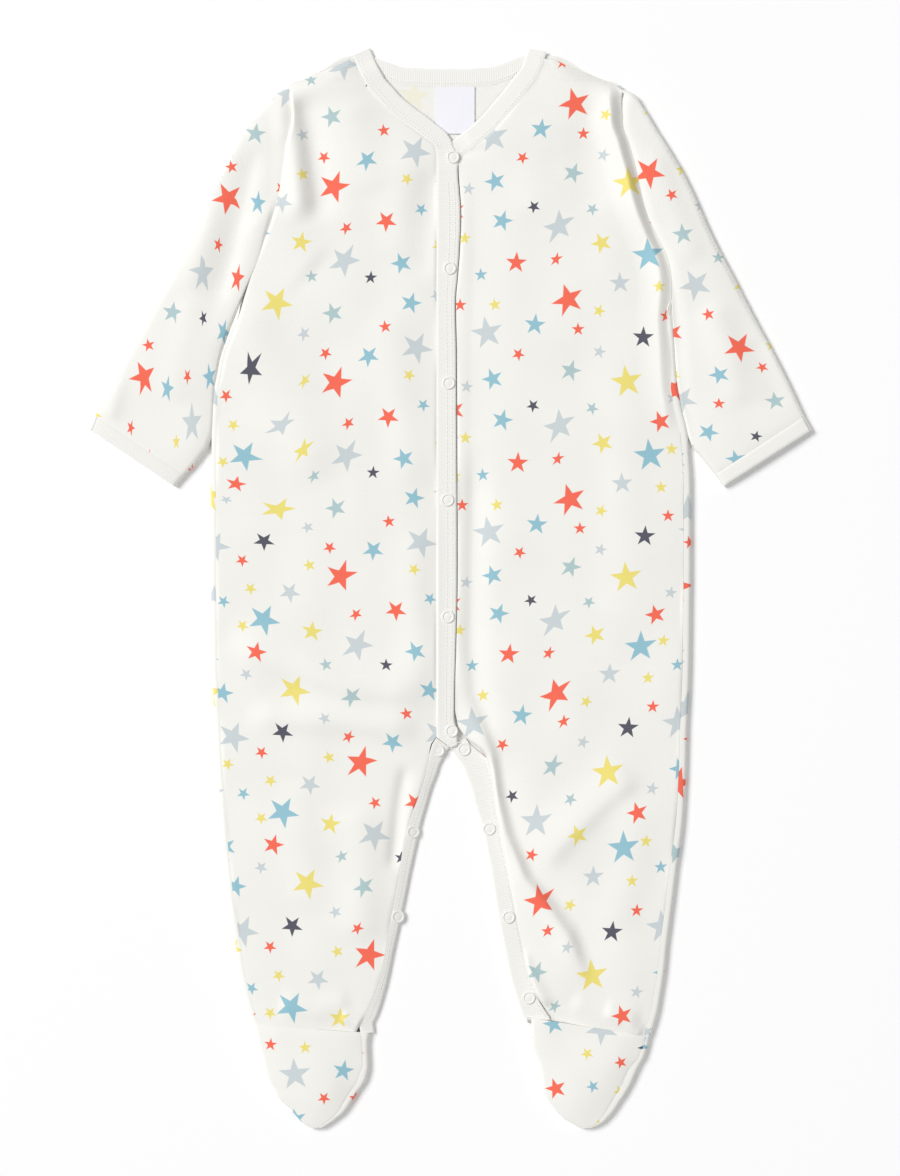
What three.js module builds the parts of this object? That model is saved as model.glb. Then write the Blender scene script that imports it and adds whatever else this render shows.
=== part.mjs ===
// A footed baby sleepsuit, laid flat on its back with its snaps shut.
// Millimetres, +Z up, +Y towards the neck, +X to the viewer's right, which is the wearer's left.
// Pieces are named for the wearer's right and left. The underside of the cloth lies on z = 0.
import * as THREE from "three";

// The cloth and how its layers lie on each other
const WALL = 1.2; // thickness of the interlock and of the rib
const GAP = 0.3; // between two pieces at a seam or in a stack
const LAYER = WALL + GAP;
const TOP_OF = [0, 1, 2].map((layer) => layer * LAYER + WALL); // upper face of each layer of the stack
const FOLD_RADIUS = TOP_OF[2] / 2; // of the cloth where it turns round a side
const CROWN = 1.5; // how far a front rises over its edges
const SLEEVE_CROWN = 1.0;
const FOOT_CROWN = 1.6;
const EDGE_RUN = 26; // how far in from an edge a front keeps rising
const SHOULDER_RUN = 12; // the same below the shoulder fold
const FOLD_MARGIN = 6; // folds fade out this near a sewn edge

// Bands
const PLACKET_LEFT = -8.2;
const PLACKET_RIGHT = 4.2;
const PLACKET_TOP = 250.6;
const PLACKET_POINT = -94.6; // lowest point of the placket, at the crotch
const POINT_SLOPE = 0.72; // rise of the placket's pointed end for each mm aside
const BACK_BAND_WIDTH = 8.6;
const NECK_END = 47.5; // half the length of the binding's back stretch
const LEG_BAND_WIDTH = 9;
const BAND_DIP = 2; // how far a leg band's free edge hangs below the seam beside it
const BAND_COLUMNS = 3;

// Sides: how far the back wraps over to the front, seen from above
const LAP_RIGHT_SIDE = 2.9;
const LAP_LEFT_SIDE = 4.4;
const UNDERARM = 187; // height of the sleeve's lower end
const WRAPPED_BELOW = 158; // the back wraps fully under this height
const CROTCH_TOP = -85.6; // upper edge of the crotch in the back
const CROTCH_HALF = 3;
const CROTCH_SPREAD = 1.05; // mm aside for each mm down, under the crotch
const CROTCH_ROUND = { under: -100, width: 4, run: 12 }; // widens the band where it turns into the leg
const CROTCH_TIP = { x: 1.2, y: -95.8 }; // the back band's free edge in the middle
const CROTCH_SEAM = { x: 8.7, freeX: 0.4, drop: 1.3 * GAP }; // a front band's first section, under the placket
const CROTCH_TURN = { x: 11.1, y: -92.6, freeX: 3.3, freeY: -98 }; // and its second
const SHOULDER_ROW = 296; // the back's first row, which is bent to the shoulder line

// Snaps, as rings that show the cloth in their middle
const SNAP_OUTER = 3.6;
const SNAP_INNER = 2.3;
const SNAP_HEIGHT = 0.9;
const SNAP_BEVEL = 0.3;
const SNAP_SIDES = 14;

// Neck label, bare
const LABEL = { left: -9.1, right: 14.1, bottom: 269.7, top: 296.6, thickness: 1.0 };

const COLOUR = { cloth: 0xf4f3ef, rib: 0xf6f5f1, snap: 0xf3f2ee, label: 0xeceef7 };

// A smooth curve through the values, with no overshoot: cubic pieces with harmonic-mean slopes.
function smooth(at, values) {
  const step = values.slice(1).map((v, i) => (v - values[i]) / (at[i + 1] - at[i]));
  const slope = values.map((_, i) => {
    const before = step[Math.max(i - 1, 0)];
    const after = step[Math.min(i, step.length - 1)];
    return before * after > 0 ? (2 * before * after) / (before + after) : 0;
  });
  return (x) => {
    const next = at.findIndex((a) => a >= x);
    const i = next < 0 ? at.length - 2 : Math.max(next - 1, 0);
    const run = at[i + 1] - at[i];
    const t = Math.min(Math.max((x - at[i]) / run, 0), 1);
    const left = values[i] + slope[i] * run * t;
    const right = values[i + 1] - slope[i + 1] * run * (1 - t);
    return left + (right - left) * t * t * (3 - 2 * t);
  };
}

// Rows of numbers under named columns; each column becomes a curve over the first one.
function table(columns, rows) {
  const ordered = rows[0][0] < rows[rows.length - 1][0] ? rows : [...rows].reverse();
  const at = ordered.map((row) => row[0]);
  return Object.fromEntries(columns.map((name, k) => [name, smooth(at, ordered.map((row) => row[k]))]));
}

// The suit's outline from the shoulder down the armhole and the side to the ankle
const BODY = table(
  ["y", "left", "right"],
  [
    [316, -57, 57.5],
    [307, -77, 79.5],
    [297, -97.5, 100],
    [290, -95.6, 97.6],
    [280, -94.6, 96.4],
    [264, -97.6, 100.2],
    [245, -100.2, 105.6],
    [228, -103.6, 109.9],
    [211, -109, 116.8],
    [UNDERARM, -117.5, 127],
    [153, -131.5, 132.1],
    [126, -139.2, 133.9],
    [108, -141.4, 136.7],
    [86, -142, 141],
    [47, -142.2, 142.4],
    [-35, -141.6, 141.9],
    [-82, -139.8, 140.3],
    [-120, -137.4, 139],
    [-170, -133.2, 133.6],
    [-210, -127.8, 128.6],
    [-240, -122.4, 124.8],
    [-262, -116, 118],
  ],
);

// The sewn edge of each front along the neck binding, the placket and the inseam band, and its height there
const FRONT_RIGHT = table(
  ["y", "x", "edge"],
  [
    [314.5, -57.4, TOP_OF[1]],
    [301, -51.2, TOP_OF[2]],
    [289, -42.1, TOP_OF[2]],
    [276.4, -28.5, TOP_OF[2]],
    [267.4, -16.2, TOP_OF[2]],
    [260, -9, TOP_OF[2]],
    [254, -8.5, TOP_OF[2]],
    [-87, -8.5, TOP_OF[2]],
    [-92.6, -11.8, TOP_OF[2]],
    [-101.7, -13.4, TOP_OF[2]],
    [-120, -18, TOP_OF[2]],
    [-145, -26.6, TOP_OF[2]],
    [-172, -31.2, TOP_OF[2]],
    [-195, -35.6, TOP_OF[2]],
    [-212, -38.4, TOP_OF[2]],
    [-232, -42.5, TOP_OF[2]],
    [-250, -50.5, TOP_OF[2]],
    [-263, -57.8, TOP_OF[2]],
  ],
);
const FRONT_LEFT = table(
  ["y", "x", "edge"],
  [
    [314.5, 55.2, TOP_OF[1]],
    [307, 52.9, TOP_OF[1] + 0.8],
    [294.6, 44.7, TOP_OF[2]],
    [280, 33, TOP_OF[2]],
    [266.4, 20, TOP_OF[2]],
    [262.5, 15, TOP_OF[2]],
    [258, 8.6, TOP_OF[1]],
    [254, 4.9, TOP_OF[1]],
    [-80, 4.7, TOP_OF[1]],
    [-88.4, 9.1, TOP_OF[1]],
    [-93.9, 15.5, TOP_OF[1]],
    [-100.3, 21, TOP_OF[1]],
    [-115.7, 24.4, TOP_OF[1]],
    [-135, 27, TOP_OF[1]],
    [-180, 35.9, TOP_OF[1]],
    [-212, 42.3, TOP_OF[1]],
    [-235, 47.8, TOP_OF[1]],
    [-257, 59.5, TOP_OF[1]],
  ],
);

// The open inner outline of both legs, below the crotch
const INSEAM = table(
  ["y", "left", "right"],
  [
    [-95.4, -0.6, 0.6],
    [-98.8, -4.3, 3.9],
    [-107.7, -8.2, 8.7],
    [-125.5, -14.2, 14.3],
    [-152, -20.9, 21.2],
    [-188, -28.4, 27.3],
    [-214, -34.1, 32.3],
    [-241, -40.2, 39],
    [-262, -47.9, 48.1],
  ],
);

// The back's upper edge: the neck curve and the two shoulders
const BACK_TOP = table(
  ["x", "y"],
  [
    [-97.5, 297],
    [-77, 307],
    [-57, 316],
    [-47, 309.6],
    [-38, 301.9],
    [-21, 298.4],
    [0, 297.8],
    [18, 298.4],
    [33, 301.6],
    [47, 310.4],
    [57, 316.3],
    [79, 307],
    [100, 297],
  ],
);

// The folds that stand out most: a path in plan, half its width, and its height, below zero for a trough
const FOLDS = [
  { path: [[10, 246], [9, 160], [12, 60], [9, 5], [8, -35], [13, -70], [22, -96]], width: 6, height: 2.4 },
  { path: [[-102, -60], [-62, -62], [-26, -66]], width: 7, height: 1.3 },
  { path: [[-92, -84], [-56, -86], [-28, -81]], width: 6, height: 0.9 },
  { path: [[26, -108], [35, -146], [50, -178], [71, -210], [78, -228]], width: 7, height: 2.2 },
  { path: [[36, -116], [45, -150], [60, -176], [80, -204]], width: 7, height: -0.9 },
  { path: [[-30, -112], [-33, -138], [-34, -164]], width: 6, height: 1.4 },
  { path: [[-80, 284], [-84, 250], [-88, 222]], width: 8, height: -0.9 },
  { path: [[-106, 282], [-112, 240], [-122, 200]], width: 7, height: 1.4 },
  { path: [[-128, 258], [-139, 226], [-146, 196]], width: 7, height: -0.8 },
  { path: [[112, 258], [128, 226], [140, 200]], width: 8, height: 1.2 },
  { path: [[152, 168], [166, 136], [170, 110]], width: 8, height: 0.8 },
  { path: [[-150, 150], [-163, 122], [-172, 98]], width: 8, height: 0.8 },
  { path: [[-60, -246], [-80, -251], [-98, -250]], width: 6, height: 1.0 },
  { path: [[70, -246], [88, -252], [108, -254]], width: 6, height: 1.0 },
];

function distanceToPath(x, y, path) {
  let nearest = Infinity;
  for (let k = 1; k < path.length; k++) {
    const [ax, ay] = path[k - 1];
    const [bx, by] = path[k];
    const along = ((x - ax) * (bx - ax) + (y - ay) * (by - ay)) / ((bx - ax) ** 2 + (by - ay) ** 2);
    const t = Math.min(Math.max(along, 0), 1);
    nearest = Math.min(nearest, Math.hypot(x - ax - t * (bx - ax), y - ay - t * (by - ay)));
  }
  return nearest;
}

const bump = (distance, width) => Math.exp(-((distance / width) ** 2));
const relief = (x, y) =>
  FOLDS.reduce((sum, fold) => sum + fold.height * bump(distanceToPath(x, y, fold.path), fold.width), 0);

// 1 at an edge, falling smoothly to 0 at the run's far end
const fall = (distance, run) => Math.max(1 - Math.max(distance, 0) / run, 0) ** 2;

// Twice the area in plan of one cell in each row, above zero where the cells face up
function signedArea(points, column) {
  let sum = 0;
  for (let j = 1; j < points.length; j++) {
    const [a, b, c] = [points[j - 1][column], points[j - 1][column + 1], points[j][column]];
    sum += (b.x - a.x) * (c.y - a.y) - (b.y - a.y) * (c.x - a.x);
  }
  return sum;
}

const steps = (count) => Array.from({ length: count + 1 }, (_, k) => k / count);
const mix = (a, b, t) => a + (b - a) * t;
const point = (x, y, z) => new THREE.Vector3(x, y, z);

// Cloth of even thickness under a grid of points on its outer face, grid[row][column], which faces up, down or,
// on a ring, out. The inner face is the outer one moved in along its normal. holds tells which cells are cloth.
// A ring's last column is joined to its first.
function wall(points, { thickness = WALL, holds = () => true, faces: facing = "up" } = {}) {
  const rows = points.length;
  const columns = points[0].length;
  const ring = facing === "out";
  const area = signedArea(points, ring ? 1 : Math.floor(columns / 2) - 1); // a ring's top comes first
  const turned = facing === "down" ? area > 0 : area < 0;
  const grid = turned ? points.map((row) => [...row].reverse()) : points;
  const cell = (i) => (ring ? (i + columns) % columns : i);
  const near = (j, i) => {
    const row = grid[Math.min(Math.max(j, 0), rows - 1)];
    return row[ring ? cell(i) : Math.min(Math.max(i, 0), columns - 1)];
  };
  const normalAt = (j, i) => {
    const across = near(j, i + 1).clone().sub(near(j, i - 1));
    const along = near(j + 1, i).clone().sub(near(j - 1, i));
    return across.cross(along).normalize();
  };
  const inner = grid.map((row, j) => row.map((p, i) => p.clone().addScaledVector(normalAt(j, i), -thickness)));
  const positions = [...grid.flat(), ...inner.flat()].flatMap((p) => [p.x, p.y, p.z]);
  const at = (layer, i, j) => (layer * rows + j) * columns + cell(i);
  const cloth = (i, j) => {
    const k = cell(i);
    return k >= 0 && k < (ring ? columns : columns - 1) && j >= 0 && j < rows - 1 && holds(k, j);
  };
  const faces = [];
  const quad = (a, b, c, d) => faces.push(a, b, c, a, c, d);
  for (let j = 0; j < rows - 1; j++) {
    for (let i = 0; i < columns; i++) {
      if (!cloth(i, j) || (!ring && i === columns - 1)) continue;
      quad(at(0, i, j), at(0, i + 1, j), at(0, i + 1, j + 1), at(0, i, j + 1));
      quad(at(1, i, j + 1), at(1, i + 1, j + 1), at(1, i + 1, j), at(1, i, j));
      if (!cloth(i, j - 1)) quad(at(1, i, j), at(1, i + 1, j), at(0, i + 1, j), at(0, i, j));
      if (!cloth(i, j + 1)) quad(at(0, i, j + 1), at(0, i + 1, j + 1), at(1, i + 1, j + 1), at(1, i, j + 1));
      if (!cloth(i - 1, j)) quad(at(0, i, j), at(0, i, j + 1), at(1, i, j + 1), at(1, i, j));
      if (!cloth(i + 1, j)) quad(at(1, i + 1, j), at(1, i + 1, j + 1), at(0, i + 1, j + 1), at(0, i + 1, j));
    }
  }
  const geometry = new THREE.BufferGeometry();
  geometry.setAttribute("position", new THREE.Float32BufferAttribute(positions, 3));
  geometry.setIndex(faces);
  return geometry;
}

const suit = new THREE.Group();

function add(name, geometry, colour, roughness = 0.9) {
  const material = new THREE.MeshStandardMaterial({ color: colour, roughness, metalness: 0 });
  const mesh = new THREE.Mesh(geometry, material);
  mesh.name = name;
  suit.add(mesh);
  return mesh;
}

// Cloth lying on the floor curls up at its side: the strip's points as [in from the outline, up], the free
// end first.
// turn is the angle that it turns through and length the strip's own.
function curl(turn, length, radius, count) {
  const place = (s) => {
    const angle = Math.min(s / radius, turn);
    const rest = s - angle * radius;
    const into = radius * Math.sin(angle) + rest * Math.cos(turn);
    return [into, radius * (1 - Math.cos(angle)) + rest * Math.sin(turn)];
  };
  const reach = turn < Math.PI / 2 ? place(length)[0] : radius;
  const arc = Math.max(radius * turn, 0.75 * length); // the rest, at the free end, is straight
  const stops = [length, ...steps(count - 1).map((t) => arc * (1 - t))];
  return stops.map((s) => [reach - place(s)[0], place(s)[1]]);
}

// Length of a strip that turns with this radius, its end coming back in by lap once it has turned right over
const LEAST_STRIP = 3;
const stripLength = (turn, lap, radius) =>
  Math.max(radius * turn + (lap - radius) * (turn / Math.PI), LEAST_STRIP);

// Even heights of a panel's rows, about the spacing apart
function rowHeights(top, bottom, spacing) {
  const count = Math.max(Math.round((top - bottom) / spacing), 1);
  return steps(count).map((t) => mix(top, bottom, t));
}

// The ankle seams slope a little: two points of each, and its height at x
const ANKLE = -260;
const ANKLE_SEAMS = {
  right: { x0: -110, y0: -258.8, x1: -58, y1: -262.8 },
  left: { x0: 59.7, y0: -256.5, x1: 114.7, y1: -265 },
};
function ankleAt(x) {
  const { x0, y0, x1, y1 } = x < 0 ? ANKLE_SEAMS.right : ANKLE_SEAMS.left;
  return mix(y0, y1, (x - x0) / (x1 - x0));
}
const SKEW_FROM = -240; // rows under this height turn to follow the ankle seam
const rowY = (y, x) => (y > SKEW_FROM ? y : mix(SKEW_FROM, ankleAt(x), (SKEW_FROM - y) / (SKEW_FROM - ANKLE)));
const BAND_END = -255.5; // height at which the leg bands take their width at the ankle

// The back: one cut from the neck to both ankles, flat on the floor, curling up round the sides
const CURL_STEPS = 4;
const BACK_COLUMNS = 6; // flat steps in each half
const turnAt = (y) => Math.PI * THREE.MathUtils.smoothstep(-y, -UNDERARM, -WRAPPED_BELOW);
const SIDE_ROWS = rowHeights(UNDERARM, -70, 17);
const LEG_ROWS = rowHeights(-111, ANKLE, 13.5);
const backRows = [
  ...rowHeights(290, 262, 7),
  ...rowHeights(250, 198, 13),
  ...SIDE_ROWS,
  CROTCH_TOP,
  -90,
  -95,
  -101,
  ...LEG_ROWS,
];
const backBandEdge = (y, side) => {
  const inseam = side < 0 ? INSEAM.left(y) : INSEAM.right(y);
  const crotch = side * (CROTCH_HALF + (CROTCH_TOP - y) * CROTCH_SPREAD);
  const leg = inseam + side * (LEG_BAND_WIDTH + GAP);
  const rounding = CROTCH_ROUND.width * fall(CROTCH_ROUND.under - y, CROTCH_ROUND.run);
  return side * Math.min(Math.abs(crotch), Math.abs(leg) + rounding);
};
function backHalf(y, side) {
  const outline = side < 0 ? BODY.left(y) : BODY.right(y);
  const lap = side < 0 ? LAP_RIGHT_SIDE : LAP_LEFT_SIDE;
  const turned = curl(turnAt(y), stripLength(turnAt(y), lap, FOLD_RADIUS), FOLD_RADIUS, CURL_STEPS);
  const strip = turned.map(([into, up]) => [outline - side * into, up]);
  const start = strip[CURL_STEPS][0];
  const end = y >= CROTCH_TOP ? side * CROTCH_HALF : backBandEdge(y, side);
  const flat = steps(BACK_COLUMNS).slice(1).map((t) => [mix(start, end, t), 0]);
  return [...strip, ...flat].map(([x, z]) => point(x, rowY(y, x), z));
}
const backRow = (y) => [...backHalf(y, 1), ...backHalf(y, -1).reverse()];
const backTopRow = backRow(SHOULDER_ROW).map((p) => point(p.x, BACK_TOP.y(p.x), p.z));
const backGrid = [backTopRow, ...backRows.map(backRow)];
const MIDDLE_CELL = CURL_STEPS + BACK_COLUMNS;
const crotchRow = backRows.indexOf(CROTCH_TOP) + 1;
const backHolds = (i, j) => i !== MIDDLE_CELL || j < crotchRow; // the legs part under the crotch
add("back_body", wall(backGrid, { faces: "down", holds: backHolds }), COLOUR.cloth);

// A front lies over the back: its outer face rises from its sewn edges to the crown, with the folds on it.
const FRONT_COLUMNS = 12;
const frontRows = [
  ...rowHeights(314, 252, 7),
  ...rowHeights(242, 198, 11),
  ...SIDE_ROWS,
  -80,
  -88.4,
  -94,
  -101,
  ...LEG_ROWS,
];
function frontOutline(y, side) {
  const lap = side < 0 ? LAP_RIGHT_SIDE : LAP_LEFT_SIDE;
  const outline = side < 0 ? BODY.left(y) : BODY.right(y);
  return outline - side * (lap + GAP) * (turnAt(y) / Math.PI);
}
function frontHeight(x, y, side) {
  const { x: seam, edge } = side < 0 ? FRONT_RIGHT : FRONT_LEFT;
  const crown = TOP_OF[2] + CROWN;
  const fromSide = Math.abs(frontOutline(y, side) - x);
  const fromSeam = Math.abs(x - seam(y));
  const fromShoulder = BACK_TOP.y(x) - y;
  const atShoulder = fall(fromShoulder, SHOULDER_RUN);
  const base = crown - CROWN * fall(fromSide, EDGE_RUN) - (crown - edge(y)) * fall(fromSeam, EDGE_RUN);
  const settled = (1 - fall(fromSide, FOLD_MARGIN)) * (1 - fall(fromSeam, FOLD_MARGIN));
  return mix(base + relief(x, y) * settled, TOP_OF[1], atShoulder);
}
function frontRow(y, side) {
  const seam = (side < 0 ? FRONT_RIGHT : FRONT_LEFT).x(y);
  const outline = frontOutline(y, side);
  return steps(FRONT_COLUMNS).map((t) => {
    const x = mix(outline, seam, t);
    return point(x, rowY(y, x) + (y === ANKLE ? GAP : 0), frontHeight(x, y, side));
  });
}
for (const [name, side] of [["front_right", -1], ["front_left", 1]]) {
  add(name, wall(frontRows.map((y) => frontRow(y, side))), COLOUR.cloth);
}

// A line of points in plan, read as a curve from 0 to 1 by its length
function planCurve(points) {
  const travelled = [0];
  points.slice(1).forEach(([x, y], k) => {
    travelled.push(travelled[k] + Math.hypot(x - points[k][0], y - points[k][1]));
  });
  const whole = travelled[travelled.length - 1];
  const x = smooth(travelled, points.map((p) => p[0]));
  const y = smooth(travelled, points.map((p) => p[1]));
  return (t) => [x(t * whole), y(t * whole)];
}

// A patch between four plan curves: outer and inner run along it, start and end run across it.
function patch(outer, inner, start, end) {
  const corner = [outer(0), inner(0), outer(1), inner(1)];
  return (s, v) =>
    [0, 1].map((k) => {
      const along = mix(outer(v)[k], inner(v)[k], s);
      const across = mix(start(s)[k], end(s)[k], v);
      return along + across - mix(mix(corner[0][k], corner[1][k], s), mix(corner[2][k], corner[3][k], s), v);
    });
}

// A flattened tube over a patch: level on the floor below, round at both sides, crowned on top.
const TUBE_COLUMNS = 7;
const CAP_ANGLES = [135, 90, 45].map(THREE.MathUtils.degToRad);
function tube(plan, rings, topHeight) {
  const grid = steps(rings).map((v) => {
    const width = Math.hypot(plan(1, v)[0] - plan(0, v)[0], plan(1, v)[1] - plan(0, v)[1]);
    const radius = FOLD_RADIUS / width;
    const across = steps(TUBE_COLUMNS).map((t) => mix(radius, 1 - radius, t));
    const top = across.map((s) => [s, topHeight(s, v, ...plan(s, v))]);
    const floor = across.map((s) => [s, 0]).reverse();
    const cap = CAP_ANGLES.map((a) => [radius * (1 - Math.sin(a)), FOLD_RADIUS * (1 - Math.cos(a))]);
    const farCap = cap.map(([s, z]) => [1 - s, z]);
    return [...top, ...farCap, ...floor, ...cap.reverse()].map(([s, z]) => point(...plan(s, v), z));
  });
  return grid;
}

const ARMHOLE_TOP = 296.6;
const LIES_BESIDE = 97; // a sleeve lies against the body's side down to here
const ARM_GAP = 0.6; // wider than GAP because the armhole is curved
const besideBody = (top, bottom, spacing, side) =>
  rowHeights(top, bottom, spacing).map((y) => [(side < 0 ? BODY.left(y) : BODY.right(y)) + side * ARM_GAP, y]);
// The sleeve's two outlines down to the cuff seam, and the cuff's open end
const SLEEVES = {
  left: {
    side: 1,
    outer: [[100.4, 296.6], [109.7, 292.6], [114.4, 286], [123.3, 271.5], [132.2, 257.3], [142.3, 238.9],
      [154.1, 212.3], [167.8, 185.6], [181.4, 158.9], [195.6, 132.3], [209.8, 102.3]],
    below: [[142.3, 86], [147.6, 78.9], [156.7, 67.4]],
    cuff: [[214.3, 94], [161.6, 60.4]],
  },
  right: {
    side: -1,
    outer: [[-97.9, 296.6], [-106, 292.6], [-112, 286], [-123.8, 271.5], [-131.5, 257.3], [-141, 238.9],
      [-152.2, 212.3], [-165.9, 185.6], [-180.1, 158.9], [-194.3, 132.3], [-211, 102.6]],
    below: [[-143, 86], [-147.2, 78.9], [-157.9, 66.8]],
    cuff: [[-214.3, 94.4], [-163.6, 60.2]],
  },
};
const SLEEVE_RINGS = 14;
// Shares of the sleeve's length over which its crown and its folds rise, and how flat they are across it
const SLEEVE_SETTLES = { cap: 0.2, end: 0.1, crown: 4, folds: 6 };
const crossCrown = (s, flatness) => 1 - (2 * s - 1) ** flatness;
const INNER_LAG = 1.8; // a sleeve's rings fan out from the underarm
for (const [name, { side, outer, below, cuff }] of Object.entries(SLEEVES)) {
  const armhole = planCurve(besideBody(ARMHOLE_TOP, UNDERARM, 11, side));
  const seam = [outer[outer.length - 1], below[below.length - 1]];
  const cuffSeam = seam.map(([x, y]) => [x + (side * GAP) / 2, y - GAP]);
  const innerEdge = planCurve([...besideBody(UNDERARM, LIES_BESIDE, 15, side), ...below]);
  const lagging = (t) => innerEdge(t ** INNER_LAG);
  const sleevePlan = patch(planCurve(outer), lagging, armhole, planCurve(seam));
  const sleeveTop = (s, v, x, y) => {
    const rise = SLEEVE_CROWN * (1 - fall(v, SLEEVE_SETTLES.cap)) * crossCrown(s, SLEEVE_SETTLES.crown);
    const alongFolds = (1 - fall(v, SLEEVE_SETTLES.end)) * (1 - fall(1 - v, SLEEVE_SETTLES.end));
    const settled = alongFolds * crossCrown(s, SLEEVE_SETTLES.folds);
    return TOP_OF[2] + rise + relief(x, y) * settled;
  };
  const cuffPlan = patch(
    planCurve([cuffSeam[0], cuff[0]]),
    planCurve([cuffSeam[1], cuff[1]]),
    planCurve(cuffSeam),
    planCurve(cuff),
  );
  const cuffTop = (s) => TOP_OF[2] + SLEEVE_CROWN * crossCrown(s, SLEEVE_SETTLES.crown);
  add(`sleeve_${name}`, wall(tube(sleevePlan, SLEEVE_RINGS, sleeveTop), { faces: "out" }), COLOUR.cloth);
  add(`cuff_${name}`, wall(tube(cuffPlan, 2, cuffTop), { faces: "out" }), COLOUR.rib);
}

// A band along an edge: its sections as [seam point, free point, height of the upper face]
function band(name, sections, colour = COLOUR.rib) {
  const grid = sections.map(([seam, free, z]) =>
    steps(BAND_COLUMNS).map((t) => point(mix(seam[0], free[0], t), mix(seam[1], free[1], t), z)),
  );
  return add(name, wall(grid), colour);
}

// Sections beside a panel's sewn edge: the seam side GAP away from it, the free side the band's width further.
function beside(edge, heights, widthAt, side) {
  const reach = 0.5;
  return heights.map((y) => {
    const dx = edge.x(y + reach) - edge.x(y - reach);
    const across = new THREE.Vector2(2 * reach, -dx).normalize().multiplyScalar(-side);
    const at = (distance) => [edge.x(y) + across.x * distance, y + across.y * distance];
    return [at(GAP), at(GAP + widthAt(y)), edge.edge(y)];
  });
}
const neckHeights = [314, 307, 300, 293, 286, 279, 272, 266, 262, 259, 256, 253.4, 251];
const neckWidth = table(
  ["y", "right", "left"],
  [
    [314, 10, 9.6],
    [272, 10, 10.2],
    [262, 9.8, 10],
    [259, 10.6, 10],
    [256, 12.4, 11],
    [251, 12.6, 11.8],
  ],
);
band("neck_band_right", beside(FRONT_RIGHT, neckHeights, neckWidth.right, -1));
band("neck_band_left", beside(FRONT_LEFT, neckHeights, neckWidth.left, 1));
const topEdgeAt = (x) => {
  const k = backTopRow.findIndex((p) => p.x < x);
  const [a, b] = [backTopRow[k - 1], backTopRow[k]];
  return mix(a.y, b.y, (a.x - x) / (a.x - b.x));
};
const backNeck = [NECK_END, ...backTopRow.map((p) => p.x).filter((x) => Math.abs(x) < NECK_END), -NECK_END];
band(
  "neck_band_back",
  backNeck.map((x) => [[x, topEdgeAt(x) + GAP], [x, topEdgeAt(x) + GAP + BACK_BAND_WIDTH], TOP_OF[0]]),
);

// The two placket bands lie on each other and end in a point at the crotch.
const pointedEnd = (x) => PLACKET_POINT + POINT_SLOPE * Math.abs(x);
function placket(name, left, right, top) {
  const rows = rowHeights(PLACKET_TOP, pointedEnd(left), 23);
  const columns = [left, left / 2, 0, right];
  const grid = rows.map((y, j) => columns.map((x) => point(x, j < rows.length - 1 ? y : pointedEnd(x), top)));
  add(name, wall(grid), COLOUR.rib);
}
placket("placket_upper", PLACKET_LEFT, PLACKET_RIGHT, TOP_OF[2]);
placket("placket_under", PLACKET_LEFT, PLACKET_RIGHT, TOP_OF[1]);

// Inseam bands: the front ones from the panels' edges to the open outline, the back one through the crotch
const inseamHeights = [-101, ...LEG_ROWS.slice(0, -1)];
const atAnkle = (seam, free, z) => [[seam, ankleAt(seam) + GAP], [free, ankleAt(free) + GAP], z];
function frontLegBand(name, panel, inseam, side) {
  const atPoint = (x) => [side * x, pointedEnd(x) - CROTCH_SEAM.drop];
  const crotchStart = [
    [atPoint(CROTCH_SEAM.x), atPoint(CROTCH_SEAM.freeX), TOP_OF[1]],
    [[side * CROTCH_TURN.x, CROTCH_TURN.y], [side * CROTCH_TURN.freeX, CROTCH_TURN.freeY], TOP_OF[1]],
  ];
  const leg = inseamHeights.map((y) => [
    [panel.x(y) - side * GAP, y],
    [inseam(y), y - BAND_DIP],
    TOP_OF[1],
  ]);
  band(name, [...crotchStart, ...leg, atAnkle(panel.x(BAND_END) - side * GAP, inseam(BAND_END), TOP_OF[1])]);
}
frontLegBand("leg_band_front_right", FRONT_RIGHT, INSEAM.left, -1);
frontLegBand("leg_band_front_left", FRONT_LEFT, INSEAM.right, 1);
const backLeg = (side) => {
  const inseam = side < 0 ? INSEAM.left : INSEAM.right;
  const seam = (y) => backBandEdge(y, side) - side * GAP;
  const leg = inseamHeights.map((y) => [[seam(y), y], [inseam(y), y - BAND_DIP], TOP_OF[0]]);
  return [...leg, atAnkle(seam(BAND_END), inseam(BAND_END), TOP_OF[0])];
};
const crotchSections = [-1, 1].map((side) => [
  [side * CROTCH_HALF, CROTCH_TOP - GAP],
  [side * CROTCH_TIP.x, CROTCH_TIP.y],
  TOP_OF[0],
]);
band("leg_band_back", [...backLeg(-1).reverse(), ...crotchSections, ...backLeg(1)]);

// Feet: the sole lies on the floor and curls up on both sides; the top covers it, its seam seen on the right
const FOOT_ROWS = ["y", "left", "right", "lap"];
const FEET = {
  right: table(FOOT_ROWS, [
    [-258, -116.6, -47.4, 6],
    [-268, -114.6, -49, 3],
    [-280, -111.4, -48.6, 2.9],
    [-286, -110, -49.4, 4],
    [-298, -104.5, -55.4, 4.2],
    [-304, -100.9, -59, 4],
    [-309, -95, -62.1, 3.6],
    [-314, -91, -67.2, 3],
    [-317.5, -87.5, -71.8, 2.9],
    [-320, -83.4, -75.6, 2.8],
  ]),
  left: table(FOOT_ROWS, [
    [-258, 47.6, 118.6, 2.9],
    [-274, 48.1, 115, 2.9],
    [-280, 50.6, 112, 4.2],
    [-286, 52.7, 109.6, 5.1],
    [-298, 54.8, 104.1, 5],
    [-304, 57.4, 100.4, 4.7],
    [-309, 61.5, 97.3, 4.4],
    [-314, 66.2, 93.3, 3.5],
    [-317.5, 71.8, 89.5, 2.9],
    [-320, 76.6, 84.4, 2.8],
  ]),
};
const TOE = -320;
const FOOT_FLAT = 6;
const FOOT_CURL = 4;
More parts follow.
